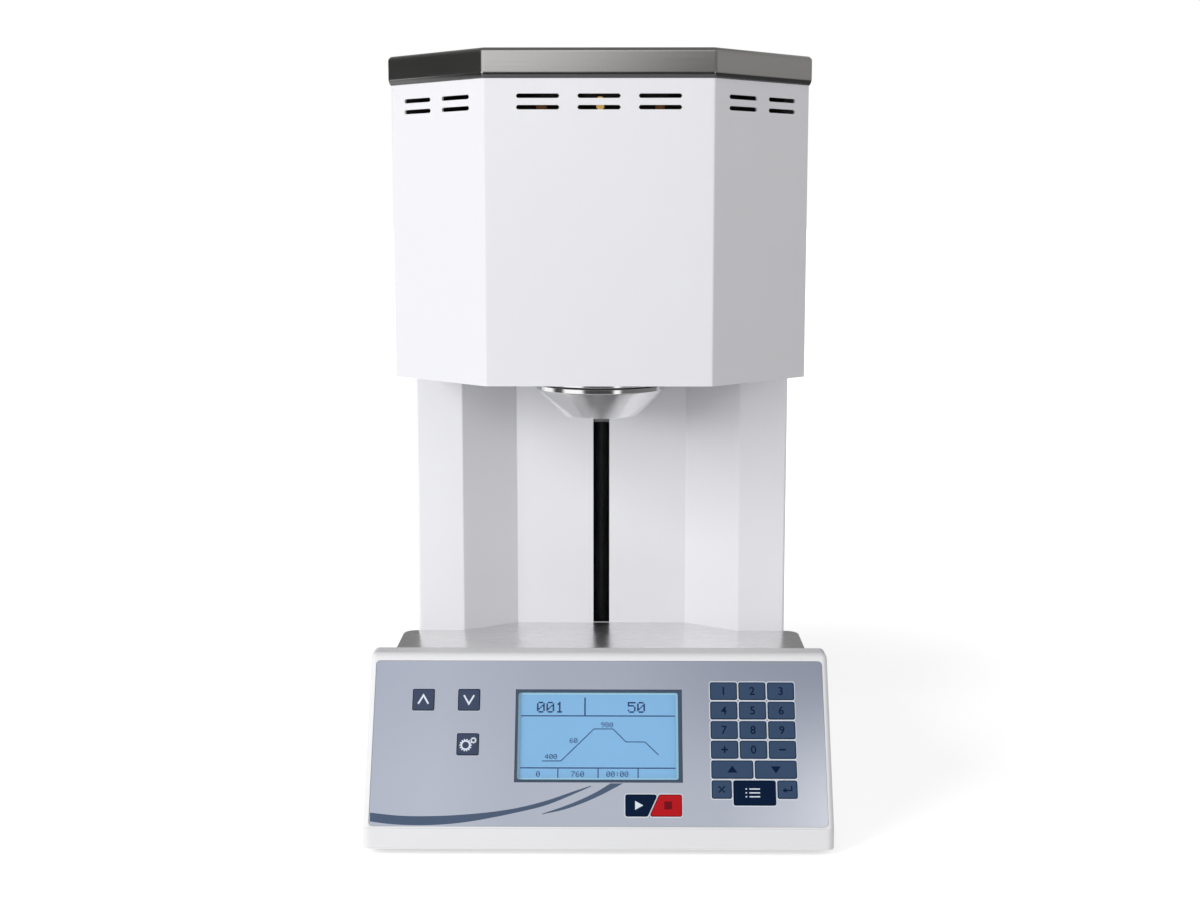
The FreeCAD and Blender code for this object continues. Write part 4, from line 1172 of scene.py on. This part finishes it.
class FURNACE_OT_rear_fixings(bpy.types.Operator):
    """Set the screws of the rear cover and the signs of the power switch"""

    bl_idname = "furnace.rear_fixings"
    bl_label = "Rear screws and switch signs"

    def execute(self, context):
        low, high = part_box("rear_cover")
        radius = sizes().screw_radius
        heights = np.linspace(low.z + SCREW_MARGIN + radius, high.z - SCREW_MARGIN, SCREW_ROWS)
        places = [(side * (high.x - SCREW_MARGIN), z) for side in (-1, 1) for z in heights]
        places += [(x, z) for z in (heights[-1], heights[0]) for x in (-SCREW_INNER, SCREW_INNER)]
        shapes = [screw_head(x, high.y - 0.02 * MM, z, radius) for x, z in places]
        add_piece("rear_screws", together(shapes), "stand", finish("dark_steel"))
        ring = circle(48)
        low, high = -0.1 * MM, 0.03 * MM
        signs = [
            prism(rectangle(-SIGN_HALF_WIDTH, SIGN_HALF_WIDTH, -SIGN_RADIUS, SIGN_RADIUS), low, high),
            collar(ring * SIGN_RADIUS, ring * (SIGN_RADIUS - 0.8 * MM), low, high),
        ]
        shapes = []
        for (middle, out), (points, faces) in zip(flat_sides("power_rocker", count=2, least=0.7), signs):
            shapes.append((points @ np.array([-ACROSS, np.cross(out, -ACROSS), out]) + middle, faces))
        add_piece("switch_signs", together(shapes), "rocker", print_finish("pale_print", PALE),
                  smooth=False)
        return {"FINISHED"}


# Finishes of the frame


OWN_FINISHES = {
    "rear_cover": "cover_paint", "head_casing": "head_paint",
    "lead_screw": "screw_steel", "lift_arm": "arm_steel",
}


class FURNACE_OT_finishes(bpy.types.Operator):
    """Give every node of the frame the finish of its slot, with painted shade where only the inside of the case
    shows and a painted glow on the brass posts
    """

    bl_idname = "furnace.finishes"
    bl_label = "Finishes of the frame"

    def execute(self, context):
        looks = {node: finish(slot) for node, slot in SLOTS.items()}
        looks.update({node: finish(name) for node, name in OWN_FINISHES.items()})
        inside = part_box("rear_cover")[1].y - 1.0 * MM
        # Painted shade: the cover's inner face, more than 1 mm in front of its back, turns a dark grey of 0.3.
        looks["rear_cover"] = painted_shade_beyond(looks["rear_cover"], 1, inside, level=0.3)
        # Painted glow: the brass posts glow faintly so that they show through the slots.
        looks["lid_posts"] = backlight_and_glint_finish("post_brass", (0.86, 0.68, 0.38), (0.74, 0.54, 0.26), 0.2)
        for node, look in looks.items():
            materials = frame["nodes"][node].data.materials
            materials.clear()
            materials.append(look)
        return {"FINISHED"}


# Stage


LAMPS = (("key_light", -48.0, 50.0), ("fill_light", 48.0, 13.0))
LAMP_HEIGHT = 16.0
LAMP_DISTANCE = 2.6
LAMP_SIDE = 1.4
LAMP_AIM = 0.27
WORLD_LEVEL = 0.35
OVERHEAD_LEVEL = 0.22
FLOOR_REACH = 40.0
WALL_RADIUS = 0.95
WALL_LEVEL = 1.15
WALL_HEIGHT = 1.35
WALL_BLENDS = ((0.40, 0.50), (0.68, 0.84))
FLOOR_FADE = (0.35, 1.0)
FLOOR_GLOW = (0.57, 1.0)
CAMERA_PLACE = (0.010, -1.29425, 0.431)
CAMERA_PITCH = 8.0
CAMERA_TURN = 0.46
CAMERA_LENS = 51.0
CAMERA_SENSOR = 36.0


def studio_world():
    """White for the camera and through glass, even for diffuse rays, and a dim ceiling for reflections."""
    world = bpy.data.worlds.new("studio")
    bpy.context.scene.world = world
    world.use_nodes = True
    tree = world.node_tree
    tree.nodes.clear()
    path = add_node(tree, "LightPath").outputs
    even, ceiling, white = (
        add_node(tree, "Background", {"Color": (1, 1, 1, 1), "Strength": level})
        for level in (WORLD_LEVEL, OVERHEAD_LEVEL, 1.0))
    soft = add_node(tree, "MixShader", {0: path["Is Glossy Ray"], 1: even, 2: ceiling})
    rays = {0: path["Is Camera Ray"], 1: path["Is Transmission Ray"]}
    seen = add_node(tree, "Math", rays, operation="MAXIMUM")
    final = add_node(tree, "MixShader", {0: seen, 1: soft, 2: white})
    add_node(tree, "OutputWorld", {0: final})


WALL_STOPS = (
    [
        (-180, 0.2), (-150, 0.2), (-125, 0.95), (-96, 0.95), (-88, 0.05), (-72, 0.05), (-66, 1.0), (-34, 1.0),
        (-28, 0.05), (22, 0.06), (25, 1.0), (33, 1.0), (38, 0.12), (80, 0.15), (150, 0.2), (180, 0.2),
    ],
    [
        (-180, 0.2), (-150, 0.2), (-135, 0.05), (-60, 0.05), (-50, 0.8), (-16, 1.0), (-4, 0.75), (2, 0.5),
        (9, 0.22), (50, 0.2), (75, 0.36), (120, 0.3), (180, 0.2),
    ],
    [
        (-180, 0.5), (-140, 0.25), (-120, 0.08), (-62, 0.12), (-48, 0.9), (-2, 0.95), (10, 0.5), (40, 0.3),
        (120, 0.3), (180, 0.5),
    ],
)


def wall_finish():
    """The bright and dark stretches of a photographer's tent.

    The compass angle runs from straight ahead of the object, positive to its right. One curve over it holds
    low down, one at the height of the head and one above, and the height mixes them.
    """
    material = bpy.data.materials.new("studio_wall")
    material.use_nodes = True
    tree = material.node_tree
    tree.nodes.clear()
    x, y, z = coordinates(tree)
    ahead = add_node(tree, "Math", {0: y, 1: -1.0}, operation="MULTIPLY")
    compass = add_node(tree, "Math", {0: x, 1: ahead}, operation="ARCTAN2")
    share = add_node(tree, "MapRange", {"Value": compass, "From Min": -math.pi, "From Max": math.pi})
    low, middle, high = (ramp(tree, share, stops, 180.0) for stops in WALL_STOPS)
    first, second = (
        add_node(tree, "MapRange", {"Value": z, "From Min": start, "From Max": end})
        for start, end in WALL_BLENDS)
    room = mix(tree, second, mix(tree, first, low, middle), high)
    glow = add_node(tree, "Emission", {"Color": room, "Strength": WALL_LEVEL})
    add_node(tree, "OutputMaterial", {0: glow})
    return material


def floor_finish():
    """A pale floor with a light of its own for camera rays, stronger further out, so it ends in white."""
    material = surface("floor_white", grey(238), grey(236), rough=(0.7, 0.8), depth=0.0, broad=2.0, shine=0.1)
    tree = material.node_tree
    place = add_node(tree, "TexCoord")
    distance = add_node(tree, "VectorMath", {0: place.outputs["Object"]}, operation="LENGTH")
    strength = add_node(tree, "MapRange", {
        "Value": distance.outputs["Value"], "From Min": FLOOR_FADE[0], "From Max": FLOOR_FADE[1],
        "To Min": FLOOR_GLOW[0], "To Max": FLOOR_GLOW[1],
    }, interpolation_type="SMOOTHSTEP")
    glow = add_node(tree, "Emission", {"Color": (1, 1, 1, 1), "Strength": strength})
    none = add_node(tree, "Emission", {"Color": (0, 0, 0, 1), "Strength": 0.0})
    path = add_node(tree, "LightPath")
    chosen = add_node(tree, "MixShader", {0: path.outputs["Is Camera Ray"], 1: none, 2: glow})
    both = add_node(tree, "AddShader", {0: tree.nodes["Principled BSDF"], 1: chosen})
    tree.links.new(both.outputs[0], tree.nodes["Material Output"].inputs["Surface"])
    return material


class FURNACE_OT_stage(bpy.types.Operator):
    """Set the floor, two large soft lights, the surroundings and the camera"""

    bl_idname = "furnace.stage"
    bl_label = "Stage"

    def execute(self, context):
        scene = context.scene
        scene.view_settings.view_transform = "Standard"
        ground = at_height(rectangle(-FLOOR_REACH, FLOOR_REACH, -FLOOR_REACH, FLOOR_REACH), 0.0)
        floor = new_object("floor", (ground, [[0, 1, 2, 3]]), floor_finish())
        profile = [(WALL_RADIUS, 0.001), (WALL_RADIUS, WALL_HEIGHT)]
        wall = new_object("studio_wall", turned(profile, (0.0, 0.0), sides=180)[:2], wall_finish())
        for ray in ("camera", "diffuse", "transmission", "shadow", "volume_scatter"):
            setattr(wall, "visible_" + ray, False)
        studio_world()
        aim = Vector((0.0, 0.0, LAMP_AIM))
        rise = math.radians(LAMP_HEIGHT)
        for name, compass, power in LAMPS:
            turn = math.radians(compass)
            level = math.cos(rise)
            direction = Vector((math.sin(turn) * level, -math.cos(turn) * level, math.sin(rise)))
            light = bpy.data.lights.new(name, "AREA")
            light.shape = "SQUARE"
            light.size = LAMP_SIDE
            light.energy = power
            lamp = bpy.data.objects.new(name, light)
            lamp.location = aim + direction * LAMP_DISTANCE
            lamp.rotation_euler = direction.to_track_quat("Z", "Y").to_euler()
            lamp.visible_glossy = False
            scene.collection.objects.link(lamp)
        lens = bpy.data.cameras.new("camera")
        lens.lens = CAMERA_LENS
        lens.sensor_width = CAMERA_SENSOR
        camera = bpy.data.objects.new("camera", lens)
        camera.location = CAMERA_PLACE
        camera.rotation_euler = (math.radians(90 - CAMERA_PITCH), 0.0, math.radians(CAMERA_TURN))
        scene.collection.objects.link(camera)
        scene.camera = camera
        return {"FINISHED"}


# Panel and registration


STEPS = (
    FURNACE_OT_finishes, FURNACE_OT_keys, FURNACE_OT_key_marks, FURNACE_OT_panel_print, FURNACE_OT_display,
    FURNACE_OT_head_lid, FURNACE_OT_work_table, FURNACE_OT_platform, FURNACE_OT_post_studs,
    FURNACE_OT_rear_fixings, FURNACE_OT_stage,
)


class FURNACE_PT_panel(bpy.types.Panel):
    """The furnace's colours, sizes and steps"""

    bl_idname = "FURNACE_PT_panel"
    bl_label = "Furnace"
    bl_space_type = "VIEW_3D"
    bl_region_type = "UI"
    bl_category = "Furnace"

    def draw(self, context):
        for step in STEPS:
            self.layout.operator(step.bl_idname)
        for group in (context.scene.furnace_colours, context.scene.furnace_sizes):
            box = self.layout.box()
            for name in group.__annotations__:
                box.prop(group, name)


CLASSES = (FurnaceColours, FurnaceSizes, *STEPS, FURNACE_PT_panel)


def register():
    """Adds the classes, and the properties on the scene."""
    for cls in CLASSES:
        bpy.utils.register_class(cls)
    bpy.types.Scene.furnace_colours = PointerProperty(type=FurnaceColours)
    bpy.types.Scene.furnace_sizes = PointerProperty(type=FurnaceSizes)


def unregister():
    """Takes the properties and the classes away again."""
    del bpy.types.Scene.furnace_colours
    del bpy.types.Scene.furnace_sizes
    for cls in reversed(CLASSES):
        bpy.utils.unregister_class(cls)


def main():
    """Runs the steps in order."""
    register()
    for step in STEPS:
        area, name = step.bl_idname.split(".")
        getattr(getattr(bpy.ops, area), name)()


if __name__ == "__main__":
    main()
